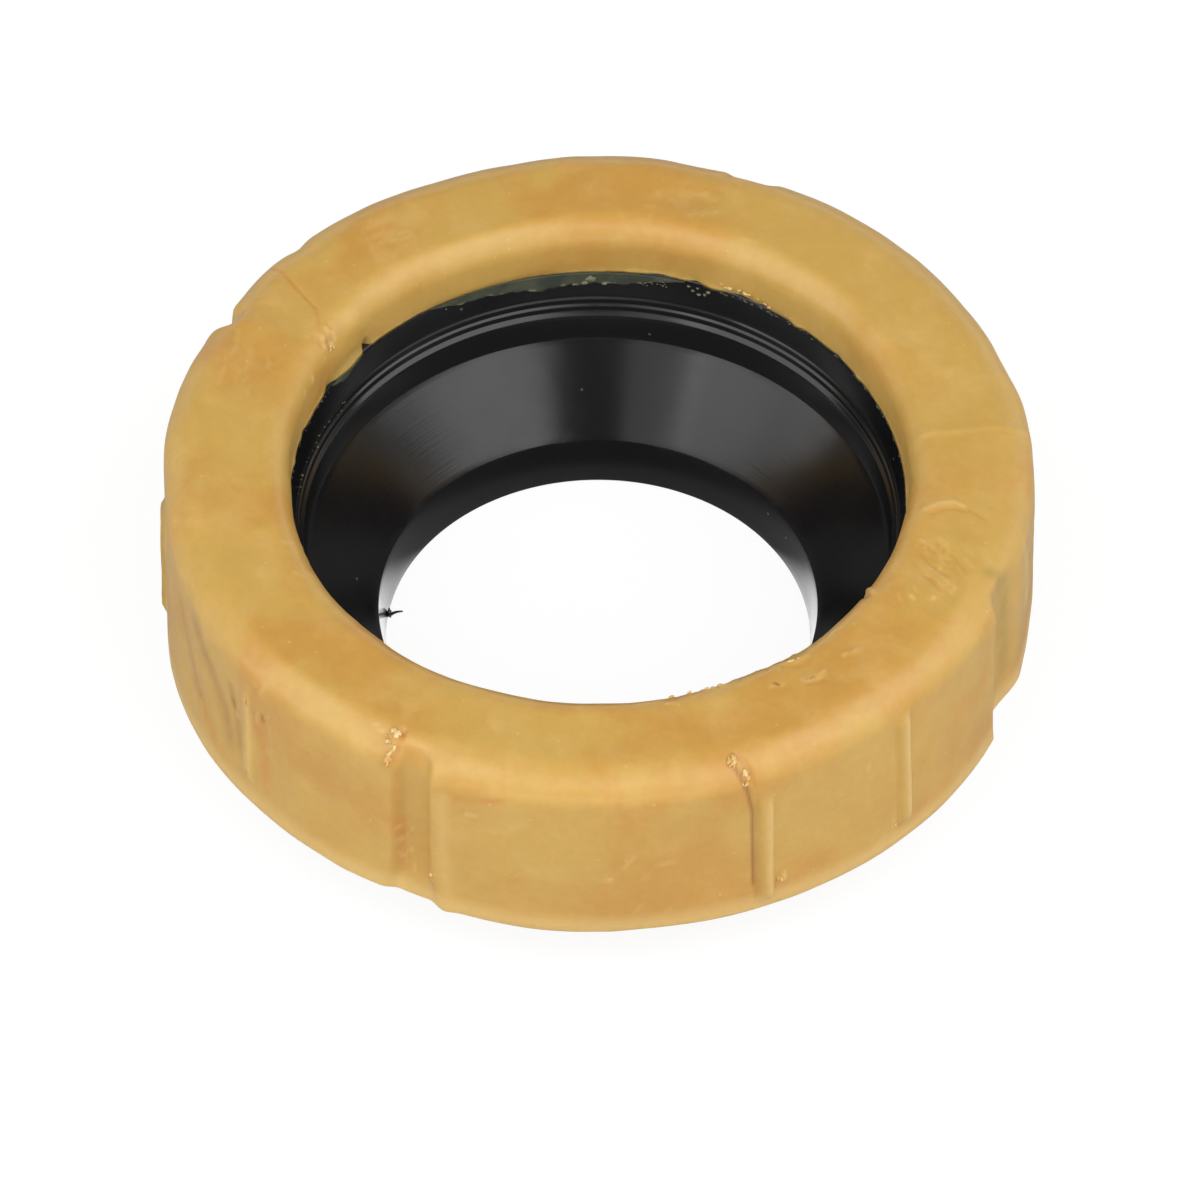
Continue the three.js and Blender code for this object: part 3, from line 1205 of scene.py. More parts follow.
    marks: tuple[Mark, ...] = (
        # Cut marks tinted stain carry painted shade as well as stains, raised marks tinted pale carry painted
        # highlights as well as torn wax, and crease marks are painted shade.
        Mark(((141.0, 26.5), (141.6, 30.0), (142.9, 33.7), (144.6, 38.0)), 0.24, -0.16, Tint.STAIN_AND_PAINTED_LIGHT, 0.9),
        Mark(((144.6, 38.0), (147.3, 40.4), (150.6, 42.6)), 0.3, -0.16, Tint.STAIN_AND_PAINTED_LIGHT, 0.45),
        Mark(((146.9, 43.0), (149.6, 43.3)), 0.2, -0.35, Tint.CREASE, 0.8),
        Mark(((148.4, 44.2), (149.4, 44.0)), 0.35, 0.2, Tint.PALE_AND_PAINTED_LIGHT, 0.45),
        Mark(((156.8, 44.6), (157.4, 45.3)), 0.3, 0.2, Tint.PALE_AND_PAINTED_LIGHT, 0.8),
        Mark(((160.9, 44.5), (161.4, 45.2)), 0.25, 0.2, Tint.PALE_AND_PAINTED_LIGHT, 0.7),
        Mark(((155.0, 31.4), (158.5, 32.6), (161.0, 32.0)), 0.3, -0.2, Tint.PALE_AND_PAINTED_LIGHT, 0.3),
        Mark(((158.0, 34.6), (160.5, 35.4), (162.5, 35.0)), 0.4, -0.2, Tint.PALE_AND_PAINTED_LIGHT, 0.25),
        Mark(((164.5, 36.5), (166.9, 37.8)), 0.35, -0.18, Tint.STAIN_AND_PAINTED_LIGHT, 0.35),
        Mark(((125.5, 36.8), (122.0, 37.6)), 0.3, -0.15, Tint.PALE_AND_PAINTED_LIGHT, 0.3),
        Mark(((127.5, 33.4), (124.0, 34.0)), 0.5, -0.15, Tint.STAIN_AND_PAINTED_LIGHT, 0.5),
        Mark(((74.4, 38.8), (69.9, 37.2)), 0.24, 0.12, Tint.PALE_AND_PAINTED_LIGHT, 0.35),
        Mark(((64.4, 40.8), (61.0, 40.3)), 0.24, 0.12, Tint.PALE_AND_PAINTED_LIGHT, 0.4),
        Mark(((77.0, 35.0), (73.5, 34.6), (71.0, 35.2)), 0.24, -0.1, Tint.PALE_AND_PAINTED_LIGHT, 0.3),
        Mark(((5.2, 42.0), (4.8, 37.2), (5.0, 31.0), (5.3, 25.9)), 0.35, 0.18, Tint.PALE_AND_PAINTED_LIGHT, 0.2),
        Mark(((4.2, 41.0), (3.9, 37.2), (4.2, 30.0)), 0.35, -0.08, Tint.STAIN_AND_PAINTED_LIGHT, 0.3),
        # A raised pale streak, with a painted shadow line beside it in the stain tint.
        Mark(((346.9, 40.8), (348.9, 38.8), (349.6, 37.2), (349.0, 35.6)), 0.3, 0.2, Tint.PALE_AND_PAINTED_LIGHT, 0.8),
        Mark(((346.2, 39.6), (347.7, 38.2), (348.3, 36.8), (347.8, 35.0)), 0.3, -0.12, Tint.STAIN_AND_PAINTED_LIGHT, 0.4),
        Mark(((348.6, 35.0), (347.0, 32.6)), 0.24, -0.14, Tint.STAIN_AND_PAINTED_LIGHT, 0.5),
        Mark(((340.4, 37.6), (338.6, 34.6), (336.3, 32.4)), 0.26, -0.2, Tint.STAIN_AND_PAINTED_LIGHT, 0.6),
        Mark(((333.5, 37.0), (331.2, 33.9)), 0.26, -0.16, Tint.STAIN_AND_PAINTED_LIGHT, 0.55),
        Mark(((328.4, 37.0), (328.0, 36.4)), 0.3, 0.2, Tint.PALE_AND_PAINTED_LIGHT, 0.9),
        Mark(((329.4, 34.3), (329.9, 34.0)), 0.3, 0.2, Tint.PALE_AND_PAINTED_LIGHT, 0.9),
        # Painted shade on the steep flank of the groove at 336.6 degrees.
        Mark(((338.0, 29.4), (338.6, 27.0), (339.5, 23.0)), 1.0, 0.0, Tint.GREEN, 0.5),
        Mark(((340.0, 25.4), (340.4, 17.0), (340.8, 7.0)), 1.3, 0.0, Tint.GREEN, 0.45),
        Mark(((346.9, 25.0), (348.2, 18.0), (349.2, 11.0)), 0.9, 0.0, Tint.PALE_AND_PAINTED_LIGHT, 0.5),
        Mark(((348.6, 22.0), (350.0, 16.0), (350.4, 10.0)), 0.5, 0.06, Tint.PALE_AND_PAINTED_LIGHT, 0.7),
        # Torn streaks by the lip: pale raised streaks, with painted shadows in the stain-tinted cuts beside
        # them.
        Mark(((303.0, 41.4), (305.6, 40.6), (307.8, 40.8)), 0.3, 0.24, Tint.PALE_AND_PAINTED_LIGHT, 0.6),
        Mark(((302.5, 40.3), (305.0, 39.6), (308.0, 39.8)), 0.32, -0.22, Tint.STAIN_AND_PAINTED_LIGHT, 0.6),
        Mark(((303.6, 37.1), (305.8, 36.5), (307.6, 36.7)), 0.28, 0.24, Tint.PALE_AND_PAINTED_LIGHT, 0.7),
        Mark(((304.0, 36.1), (306.5, 35.7)), 0.32, -0.22, Tint.STAIN_AND_PAINTED_LIGHT, 0.65),
        Mark(((298.6, 38.6), (300.6, 38.0)), 0.26, 0.2, Tint.PALE_AND_PAINTED_LIGHT, 0.55),
        Mark(((299.0, 37.5), (301.5, 37.0)), 0.3, -0.2, Tint.STAIN_AND_PAINTED_LIGHT, 0.55),
        Mark(((312.0, 37.4), (314.5, 36.6)), 0.26, 0.22, Tint.PALE_AND_PAINTED_LIGHT, 0.55),
        Mark(((288.3, 42.6), (290.6, 42.0)), 0.26, 0.18, Tint.PALE_AND_PAINTED_LIGHT, 0.5),
        Mark(((281.0, 40.8), (283.4, 40.2)), 0.26, 0.16, Tint.PALE_AND_PAINTED_LIGHT, 0.4),
        # Left wall by the rib at 218 degrees: painted shade in creases and pits, with stain-tinted streaks
        # lower down.
        Mark(((199.0, 20.0), (203.0, 15.5), (206.5, 10.0)), 1.3, 0.0, Tint.CREASE, 0.3),
        Mark(((205.0, 22.0), (209.6, 18.5), (212.9, 13.0), (214.1, 9.0)), 1.5, -0.03, Tint.CREASE, 0.42),
        Mark(((204.7, 11.0), (208.5, 7.0), (213.0, 3.8)), 1.5, 0.0, Tint.STAIN_AND_PAINTED_LIGHT, 0.7),
        Mark(((214.6, 20.0), (215.6, 15.0), (216.3, 9.0)), 0.9, -0.05, Tint.CREASE, 0.4),
        Mark(((214.8, 16.6), (215.1, 15.8)), 0.42, -0.5, Tint.CREASE, 0.9),
        Mark(((221.2, 19.6), (221.4, 19.0)), 0.4, -0.45, Tint.CREASE, 0.85),
        Mark(((220.9, 18.0), (221.6, 12.0), (221.6, 6.0)), 1.3, -0.03, Tint.STAIN_AND_PAINTED_LIGHT, 0.65),
        # Swirl of concentric arcs: painted shade in the cut arcs, painted highlight on the raised ones.
        Mark(((339.5, 39.6), (337.6, 39.0), (336.0, 37.4), (334.6, 34.5)), 0.28, -0.25, Tint.STAIN_AND_PAINTED_LIGHT, 0.5),
        Mark(((341.0, 36.5), (339.2, 35.6), (337.5, 36.4)), 0.26, 0.2, Tint.PALE_AND_PAINTED_LIGHT, 0.35),
        Mark(((336.5, 33.5), (334.5, 32.2), (332.8, 33.0)), 0.26, -0.2, Tint.STAIN_AND_PAINTED_LIGHT, 0.45),
        Mark(((338.6, 33.0), (337.6, 31.8)), 0.3, 0.2, Tint.PALE_AND_PAINTED_LIGHT, 0.4),
        Mark(((328.4, 44.9), (327.4, 43.2), (326.0, 41.6)), 0.4, 0.3, Tint.PALE_AND_PAINTED_LIGHT, 0.35),
        Mark(((326.6, 44.9), (325.4, 42.6)), 0.4, -0.45, Tint.STAIN_AND_PAINTED_LIGHT, 0.4),
        Mark(((257.5, 24.7), (254.0, 23.8), (251.5, 23.4)), 0.4, -0.1, Tint.STAIN_AND_PAINTED_LIGHT, 0.75),
        Mark(((254.6, 21.2), (253.2, 21.0)), 0.3, 0.1, Tint.PALE_AND_PAINTED_LIGHT, 0.6),
        Mark(((260.5, 21.0), (258.0, 19.0), (256.5, 18.6)), 0.7, 0.0, Tint.PALE_AND_PAINTED_LIGHT, 0.25),
        Mark(((271.3, 11.2), (271.5, 10.9)), 0.35, -0.3, Tint.PALE_AND_PAINTED_LIGHT, 0.7),
        Mark(((238.4, 29.8), (240.2, 29.0)), 0.2, -0.16, Tint.PALE_AND_PAINTED_LIGHT, 0.6),
        Mark(((307.2, 19.2), (307.2, 18.4)), 0.26, -0.25, Tint.PALE_AND_PAINTED_LIGHT, 0.6),
        Mark(((311.0, 5.6), (311.1, 5.0)), 0.3, 0.2, Tint.PALE_AND_PAINTED_LIGHT, 0.95),
        Mark(((294.3, 5.9), (294.4, 5.1)), 0.3, 0.22, Tint.PALE_AND_PAINTED_LIGHT, 0.95),
        Mark(((218.2, 6.1), (218.3, 5.5)), 0.35, -0.3, Tint.CREASE, 0.5),
        Mark(((213.3, 12.9), (213.5, 12.4)), 0.3, -0.25, Tint.CREASE, 0.35),
        Mark(((215.5, 15.8), (215.9, 15.0)), 0.3, 0.2, Tint.PALE_AND_PAINTED_LIGHT, 0.5),
        # Groove at 245.5 degrees: stain and painted shade down its left flank, a painted highlight beside its
        # rounded right edge and painted shade along that edge.
        Mark(((243.3, 26.0), (243.1, 18.0), (243.4, 13.0)), 0.5, 0.0, Tint.STAIN_AND_PAINTED_LIGHT, 0.3),
        Mark(((243.2, 13.5), (243.5, 8.0), (243.8, 3.0)), 0.9, -0.1, Tint.STAIN_AND_PAINTED_LIGHT, 0.65),
        Mark(((250.0, 23.0), (249.9, 12.0), (250.6, 3.0)), 0.95, 0.0, Tint.PALE_AND_PAINTED_LIGHT, 0.4),
        Mark(((247.9, 23.0), (247.9, 12.0), (248.6, 3.5)), 0.5, 0.0, Tint.OLIVE_AND_SHADE, 0.6),
        Mark(((242.6, 30.4), (242.8, 28.0), (242.7, 25.6)), 0.4, -0.35, Tint.STAIN_AND_PAINTED_LIGHT, 0.9),
        Mark(((289.1, 29.6), (289.9, 27.4), (290.3, 25.0)), 0.34, -0.3, Tint.STAIN_AND_PAINTED_LIGHT, 0.8),
        Mark(((243.0, 12.6), (244.2, 12.2)), 0.18, 0.12, Tint.PALE_AND_PAINTED_LIGHT, 0.6),
        Mark(((242.6, 10.4), (243.6, 10.0)), 0.18, 0.12, Tint.PALE_AND_PAINTED_LIGHT, 0.5),
        Mark(((248.4, 6.6), (248.6, 6.2)), 0.3, 0.2, Tint.PALE_AND_PAINTED_LIGHT, 0.8),
        Mark(((247.4, 5.4), (248.0, 5.2)), 0.25, -0.2, Tint.CREASE, 0.4),
        # Painted shade along the fold beside the rib at 291.8 degrees.
        Mark(((288.0, 28.4), (289.2, 24.8), (290.0, 20.0), (290.1, 6.0)), 0.26, -0.18, Tint.CREASE, 0.8),
        Mark(((277.0, 41.5), (281.0, 42.3)), 0.22, 0.15, Tint.PALE_AND_PAINTED_LIGHT, 0.35),
        Mark(((286.0, 40.2), (289.5, 41.6)), 0.2, -0.16, Tint.STAIN_AND_PAINTED_LIGHT, 0.4),
        Mark(((291.5, 42.0), (295.0, 42.8)), 0.22, 0.16, Tint.PALE_AND_PAINTED_LIGHT, 0.4),
        Mark(((297.5, 40.0), (300.5, 41.6)), 0.22, -0.16, Tint.STAIN_AND_PAINTED_LIGHT, 0.4),
    )
    wrinkled: tuple[WrinkledPatch, ...] = (
        WrinkledPatch(335.5, 35.2, 4.5, 3.2, 26, 40.0, 0.11, 0.5),
        WrinkledPatch(330.0, 38.5, 4.0, 3.0, 12, 20.0, 0.07, 0.35),
        WrinkledPatch(161.0, 35.0, 5.5, 3.6, 20, 15.0, 0.08, 0.35),
        WrinkledPatch(147.5, 42.2, 3.0, 1.6, 12, 10.0, 0.14, 0.45),
        WrinkledPatch(292.0, 42.2, 10.0, 1.8, 24, 12.0, 0.1, 0.45),
        WrinkledPatch(308.0, 43.0, 7.0, 1.4, 10, 10.0, 0.08, 0.35),
        WrinkledPatch(221.0, 18.0, 3.2, 6.0, 16, 70.0, 0.12, 0.5),
        WrinkledPatch(205.0, 16.0, 6.0, 6.0, 12, 60.0, 0.08, 0.35),
        WrinkledPatch(244.6, 10.0, 1.2, 6.0, 12, 80.0, 0.12, 0.55),
        WrinkledPatch(350.5, 17.0, 2.4, 6.0, 14, 84.0, 0.05, 0.45),
        WrinkledPatch(124.0, 36.0, 5.0, 2.5, 10, 5.0, 0.07, 0.3),
        WrinkledPatch(75.0, 36.0, 6.0, 2.5, 12, 10.0, 0.06, 0.3),
        WrinkledPatch(200.0, 42.5, 12.0, 2.5, 14, 60.0, 0.06, 0.35),
        WrinkledPatch(270.0, 9.0, 12.0, 6.0, 14, 30.0, 0.07, 0.35),
    )
    section: Section = field(init=False)
    low: Vector = field(init=False)
    high: Vector = field(init=False)

    def __post_init__(self) -> None:
        """Draws the wrinkles, and the section inside the wax ring's box."""
        rng = np.random.default_rng(self.seed + 7)
        for patch in self.wrinkled:
            self.marks += tuple(patch.marks(rng))
        self.low, self.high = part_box("wax_ring")
        _, horn_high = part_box("horn")
        foot_radius = self.high.y
        flange_top = horn_high.z
        slot_end = horn_high.y + self.seat_gap
        slot_floor = flange_top - self.flange_thickness - self.seat_gap
        lip = self.lip_radius
        fine = self.face_step
        shoulder = foot_radius - self.draft
        self.section = Section(
            [
                Corner(foot_radius, self.low.z, self.foot_rounding, self.wall_step),
                Corner(shoulder, self.high.z - self.shoulder_drop, self.shoulder_roundings[0], fine),
                Corner(shoulder - self.shoulder_reach, self.high.z, self.shoulder_roundings[1], fine),
                Corner(self.mouth_radius, self.high.z, self.mouth_rounding, fine),
                Corner(lip, flange_top - self.lip_drop, 0.0, 0.3 * MM),
                Corner(lip + self.lip_skin, flange_top - self.lip_skin, 0.0, 0.5 * MM),
                Corner(lip + self.lip_chamfer, flange_top + 0.06 * MM, 0.0, 4.0 * MM),
                Corner(slot_end, flange_top + self.seat_gap, 0.0, 2.0 * MM),
                Corner(slot_end, slot_floor, 0.0, 4.0 * MM),
                Corner(self.collar_bore, slot_floor, 0.0, 3.0 * MM),
                Corner(self.lower_bore, self.cone_top, 0.0, 1.5 * MM),
                Corner(self.lower_bore + 0.3 * MM, self.low.z, self.inner_foot, 1.5 * MM),
            ],
            arc_step=fine,
        )

    @property
    def face_end(self) -> float:
        """Distance over the face from the foot to the lip at the collar."""
        away = self.section.points - np.array([self.lip_radius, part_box("horn")[1].z - self.lip_drop])
        return float(self.section.stations[np.argmin(np.linalg.norm(away, axis=1))])

    def azimuths(self) -> np.ndarray:
        """Places the mesh columns, closer together at the ribs and grooves.

        Returns:
            Their azimuths, in degrees.
        """
        fine = np.linspace(0.0, 360.0, 7201)
        density = np.ones_like(fine)
        busy = [feature.azimuth for feature in (*self.ribs, *self.grooves)] + list(self.marked)
        for azimuth in busy:
            density += self.crowding * bell(azimuth_gap(fine, azimuth), self.crowding_spread)
        share = np.concatenate([[0.0], np.cumsum((density[1:] + density[:-1]) / 2)])
        return np.interp(np.arange(self.columns) / self.columns * share[-1], share, fine)

    def face_relief(self, at: Places) -> np.ndarray:
        """How far the unevenness, the swells and the marks stand out of the plain section.

        Args:
            at: the places.

        Returns:
            Distance along the section's outward direction.
        """
        total = self._unevenness(at) - self.allowance
        for swell in self.swells:
            total += swell.relief(at)
        for mark in self.marks:
            total += mark.height * MM * mark.closeness(at)
        return total

    def wall_relief(self, at: Places) -> np.ndarray:
        """How far the outline, the grooves and the ribs stand out of the wall.

        Args:
            at: the places, with a station of 0 for the underside.

        Returns:
            Distance away from the axis.
        """
        total = at.blank()
        for feature in (*self.outline, *self.grooves, *self.ribs):
            total += feature.relief(at)
        return total

    def _unevenness(self, at: Places) -> np.ndarray:
        """Slow swell and small dimples of hand-worked wax, the same in every direction.

        Args:
            at: the places.

        Returns:
            How far the face rises.
        """
        rng = np.random.default_rng(self.seed)
        angle = np.radians(at.azimuth)
        x, y = at.radius * np.cos(angle), at.radius * np.sin(angle)
        total = at.blank()
        for ripple in self.unevenness:
            size = ripple.height * math.sqrt(2.0 / ripple.waves)
            for _ in range(ripple.waves):
                heading = rng.normal(size=3)
                rate = heading / np.linalg.norm(heading) * 2 * math.pi / ripple.pitch * rng.uniform(0.7, 1.4)
                phase = rng.uniform(0, 2 * math.pi)
                total += size * np.sin(rate[0] * x + rate[1] * y + rate[2] * at.height + phase)
        return total

    def _tints(self, at: Places) -> dict[Tint, np.ndarray]:
        """Colour masks of the marks, the foot, the wall, the grooves, the ribs and the lip, with painted
        shade, highlights and glow among them.

        Args:
            at: the places.

        Returns:
            The strength of each tint.
        """
        tints = {tint: at.blank() for tint in Tint}

        def spread(tint: Tint, values: np.ndarray) -> None:
            """Lays a tint where it is stronger than what is there."""
            tints[tint] = np.maximum(tints[tint], values)

        for mark in self.marks:
            spread(mark.tint, mark.strength * mark.closeness(at))
        # Painted glow along the foot: orange low on the wall, pale at the rim.
        spread(Tint.STAIN_AND_PAINTED_LIGHT, self.foot_glow_tint * (1.0 - smooth_step(2.0 * MM, 7.5 * MM, at.station)))
        spread(Tint.PALE_AND_PAINTED_LIGHT, self.foot_glow_paleness * (1.0 - smooth_step(1.6 * MM, 4.6 * MM, at.station)))
        # Darker olive tone over the wall band.
        wall = smooth_step(3.0 * MM, 8.0 * MM, at.station)
        wall = wall * (1.0 - smooth_step(19.0 * MM, 26.0 * MM, at.station))
        spread(Tint.OLIVE_AND_SHADE, self.wall_tint * wall)
        # Painted shade: the grooves' insides are darkened with the olive tone.
        for groove in self.grooves:
            across = at.across(groove.azimuth)
            inside = 1.0 - smooth_step(0.4, 0.95, np.abs(across) / groove.half_width(across))
            below_top = 1.0 - smooth_step(20.0 * MM, 28.0 * MM, at.station)
            spread(Tint.OLIVE_AND_SHADE, groove.tint * inside * below_top)
        for rib in self.ribs:
            across, body = at.across(rib.azimuth), rib.body(at)
            spread(Tint.PALE_AND_PAINTED_LIGHT, rib.paleness * body * smooth_step(-0.8 * MM, 0.9 * MM, across))
            spread(Tint.OLIVE_AND_SHADE, 0.5 * body)
            spread(Tint.GREEN, rib.greenness * smooth_step(0.02, 0.3, body))
            seam = bell(across - rib.width / 2 - 1.5 * MM, 1.2 * MM)
            spread(Tint.PALE_AND_PAINTED_LIGHT, rib.seam * seam * rib.run(at))
        # Painted highlight: a broken pale line along the lip's edge.
        rim = smooth_step(self.face_end - 0.9 * MM, self.face_end - 0.3 * MM, at.station)
        angle = np.radians(at.azimuth)
        broken = 0.5 + 0.3 * (np.sin(23 * angle + 1.0) + np.sin(61 * angle) + np.sin(137 * angle + 2.0))
        spread(Tint.PALE_AND_PAINTED_LIGHT, 0.6 * rim * np.clip(broken, 0.0, 1.0))
        thin = smooth_step(self.face_end - 3.4 * MM, self.face_end - 0.5 * MM, at.station)
        spread(Tint.PALE_AND_PAINTED_LIGHT, 0.4 * thin * bell(azimuth_gap(at.azimuth, 145.0), 6.0))
        for centre, width, strength in self.lip_tints:
            spread(Tint.GREEN, strength * thin * bell(azimuth_gap(at.azimuth, centre), width))
        return tints

    def surface(self, azimuth: float, station: float) -> tuple[Vector, Vector]:
        """Place and outward direction on the finished face.

        Args:
            azimuth: degrees.
            station: distance over the face from the foot.

        Returns:
            The place and the plain section's outward direction there.
        """
        section = self.section
        rows = np.concatenate([section.points, section.normals], axis=1)
        radius, height, out, up = (float(np.interp(station, section.stations, row)) for row in rows.T)
        at = Places(*(np.array([value]) for value in (azimuth, station, radius, height)))
        proud = float(self.face_relief(at)[0])
        side = float(self.wall_relief(at)[0])
        angle = math.radians(azimuth)
        reach = radius + out * proud + side
        place = Vector((reach * math.cos(angle), reach * math.sin(angle), height + up * proud))
        direction = Vector((out * math.cos(angle), out * math.sin(angle), up))
        return place, direction.normalized()

    def build(self) -> bpy.types.Object:
        """Builds and dresses the ring.

        Returns:
            The ring, riding on the body, with the wax_ring part hidden in its place.
        """
        section = self.section
        radius, height = section.points.T[:, None, :]
        at = Places(self.azimuths()[:, None], section.stations[None, :], radius, height)
        face = 1.0 - smooth_step(self.face_end - 1.2 * MM, self.face_end + 0.2 * MM, at.station)
        face = face * smooth_step(-0.1 * MM, 0.9 * MM, at.station)
        proud = self.face_relief(at) * face
        under = at.station > self.face_end + 2.5 * MM
        outer = smooth_step(self.high.y - 8.0 * MM, self.high.y - 1.2 * MM, radius)
        low = height < self.low.z + 0.1 * MM
        side = self.wall_relief(replace(at, station=np.where(under, 0.0, at.station)))
        side = side * np.where(under, outer * low, at.station < self.face_end)
        reach = radius + section.normals[None, :, 0] * proud + side - self._ragged_lip(at)
        height = np.clip(height + section.normals[None, :, 1] * proud, self.low.z, self.high.z)
        angle = np.radians(at.azimuth)
        reach = np.minimum(reach, self.high.y / np.maximum(np.abs(np.sin(angle)), np.abs(np.cos(angle))))
        points = np.stack([reach * np.cos(angle), reach * np.sin(angle), height + 0 * angle], axis=-1)
        faces = ring_faces(self.columns, len(section.points))
        ring = add_mesh("wax_ring_cast", points.reshape(-1, 3), faces)
        for tint, values in self._tints(at).items():
            add_mask(ring, tint.value, values * (at.station < self.face_end + 0.3 * MM))
        ring.data.materials.append(self.finish)
        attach(ring, "root")
        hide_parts("wax_ring")
        return ring

    def _ragged_lip(self, at: Places) -> np.ndarray:
        """How far the lip creeps in over the collar, unevenly round the bore.

        Args:
            at: the places.

        Returns:
            Distance towards the axis.
        """
        rng = np.random.default_rng(self.seed + 1)
        angle = np.radians(at.azimuth)
        creep = np.zeros_like(angle)
        for turns in (3, 5, 9, 16, 27, 44, 71, 113):
            creep = creep + np.sin(turns * angle + rng.uniform(0, 2 * math.pi)) / math.sqrt(turns)
        total = 0.08 * MM * creep * bell(at.station - self.face_end, 1.6 * MM)
        for nick in self.nicks:
            across = np.radians(azimuth_gap(at.azimuth, nick.azimuth)) * self.lip_radius
            near = bell(at.station - self.face_end, max(0.9 * MM, abs(nick.depth)))
            total = total - nick.depth * bell(across, nick.width) * near
        return total


@dataclass
class Horn:
    """The moulded plastic horn, with fine roundings on every edge."""

    finish: bpy.types.Material
    mouth_radius: float = 29.4 * MM
    throat_radius: float = 30.3 * MM
    spout_length: float = 7.4 * MM
    cone_top_radius: float = 39.9 * MM
    cone_top: float = 18.4 * MM
    band_radius: float = 40.2 * MM
    band_top: float = 22.6 * MM
    main_ledge: float = 0.55 * MM
    second_ledge: float = 0.32 * MM
    third_ledge: float = 0.22 * MM
    main_ledge_rise: float = 0.55 * MM
    fine_ledge_rise: float = 0.3 * MM
    step_height: float = 0.8 * MM
    collar_radius: float = 41.95 * MM
    collar_rounding: float = 0.3 * MM
    wall: float = 1.6 * MM
    flange_thickness: float = 1.6 * MM
    collar_outer_foot: float = 42.0 * MM
    collar_outer_top: float = 43.1 * MM
    ledge_edge: float = 0.16 * MM
    ledge_root: float = 0.09 * MM
    columns: int = 480
    section: Section = field(init=False)

    def __post_init__(self) -> None:
        """Draws the section inside the horn's box."""
        low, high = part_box("horn")
        flange_radius = high.y
        flange_top = high.z
        first = self.band_radius + self.main_ledge
        second = first + self.second_ledge
        third = second + self.third_ledge
        first_level = self.band_top + self.main_ledge_rise
        second_level = first_level + self.step_height + self.fine_ledge_rise
        third_level = second_level + self.step_height + self.fine_ledge_rise
        flange_foot = flange_top - self.flange_thickness
        edge = self.ledge_edge
        root = self.ledge_root
        self.section = Section(
            [
                Corner(self.throat_radius, self.spout_length, 0.45 * MM, 1.2 * MM),
                Corner(self.mouth_radius, low.z, 0.35 * MM, 0.6 * MM),
                Corner(self.mouth_radius + self.wall, low.z, 0.35 * MM, 1.5 * MM),
                Corner(self.throat_radius + self.wall, self.spout_length - 0.7 * MM, 1.2 * MM, 1.5 * MM),
                Corner(self.collar_outer_foot, self.cone_top, 0.8 * MM, 1.5 * MM),
                Corner(self.collar_outer_top, flange_foot, 0.3 * MM, 2.0 * MM),
                Corner(flange_radius, flange_foot, 0.3 * MM, 0.6 * MM),
                Corner(flange_radius, flange_top, 0.3 * MM, 2.0 * MM),
                Corner(self.collar_radius, flange_top, self.collar_rounding, 0.6 * MM),
                Corner(third, third_level, root, 0.3 * MM),
                Corner(second, third_level - self.fine_ledge_rise, edge, 0.2 * MM),
                Corner(second, second_level, root, 0.3 * MM),
                Corner(first, second_level - self.fine_ledge_rise, edge, 0.2 * MM),
                Corner(first, first_level, root, 0.3 * MM),
                Corner(self.band_radius, self.band_top, edge, 0.8 * MM),
                Corner(self.cone_top_radius, self.cone_top, 0.3 * MM, 0.8 * MM),
            ],
            arc_step=0.12 * MM,
        )

    def _edge_mask(self) -> np.ndarray:
        """Finds the edges that rubbing wears.

        Returns:
            How sharply the section turns outwards at each sample, from 0 to 1.
        """
        normals = self.section.normals
        ahead = np.roll(normals, -1, axis=0)
        turn = normals[:, 0] * ahead[:, 1] - normals[:, 1] * ahead[:, 0]
        return np.clip(turn * 4.0, 0.0, 1.0)

    def collar_radius_at(self, height: np.ndarray) -> np.ndarray:
        """Inner radius of the collar.

        Args:
            height: heights above the ledges.

        Returns:
            The radius at each height.
        """
        points = self.section.points
        near = points[:, 0] < self.collar_radius + self.collar_rounding
        inner = points[near & (points[:, 1] > self.cone_top)]
        order = np.argsort(inner[:, 1])
        return np.interp(height, inner[order, 1], inner[order, 0])

    def build(self) -> bpy.types.Object:
        """Builds and dresses the horn.

        Returns:
            The horn, riding on the body, with the horn part hidden in its place.
        """
        angle = np.linspace(0, 2 * math.pi, self.columns, endpoint=False)[:, None]
        radius = self.section.points[None, :, 0]
        height = self.section.points[None, :, 1] + 0 * angle
        points = np.stack([radius * np.cos(angle), radius * np.sin(angle), height], axis=-1)
        faces = ring_faces(self.columns, len(self.section.points))
        horn = add_mesh("horn_moulding", points.reshape(-1, 3), faces)
        add_mask(horn, "edge", np.tile(self._edge_mask(), self.columns))
        horn.data.materials.append(self.finish)
        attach(horn, "root")
        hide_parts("horn")
        return horn


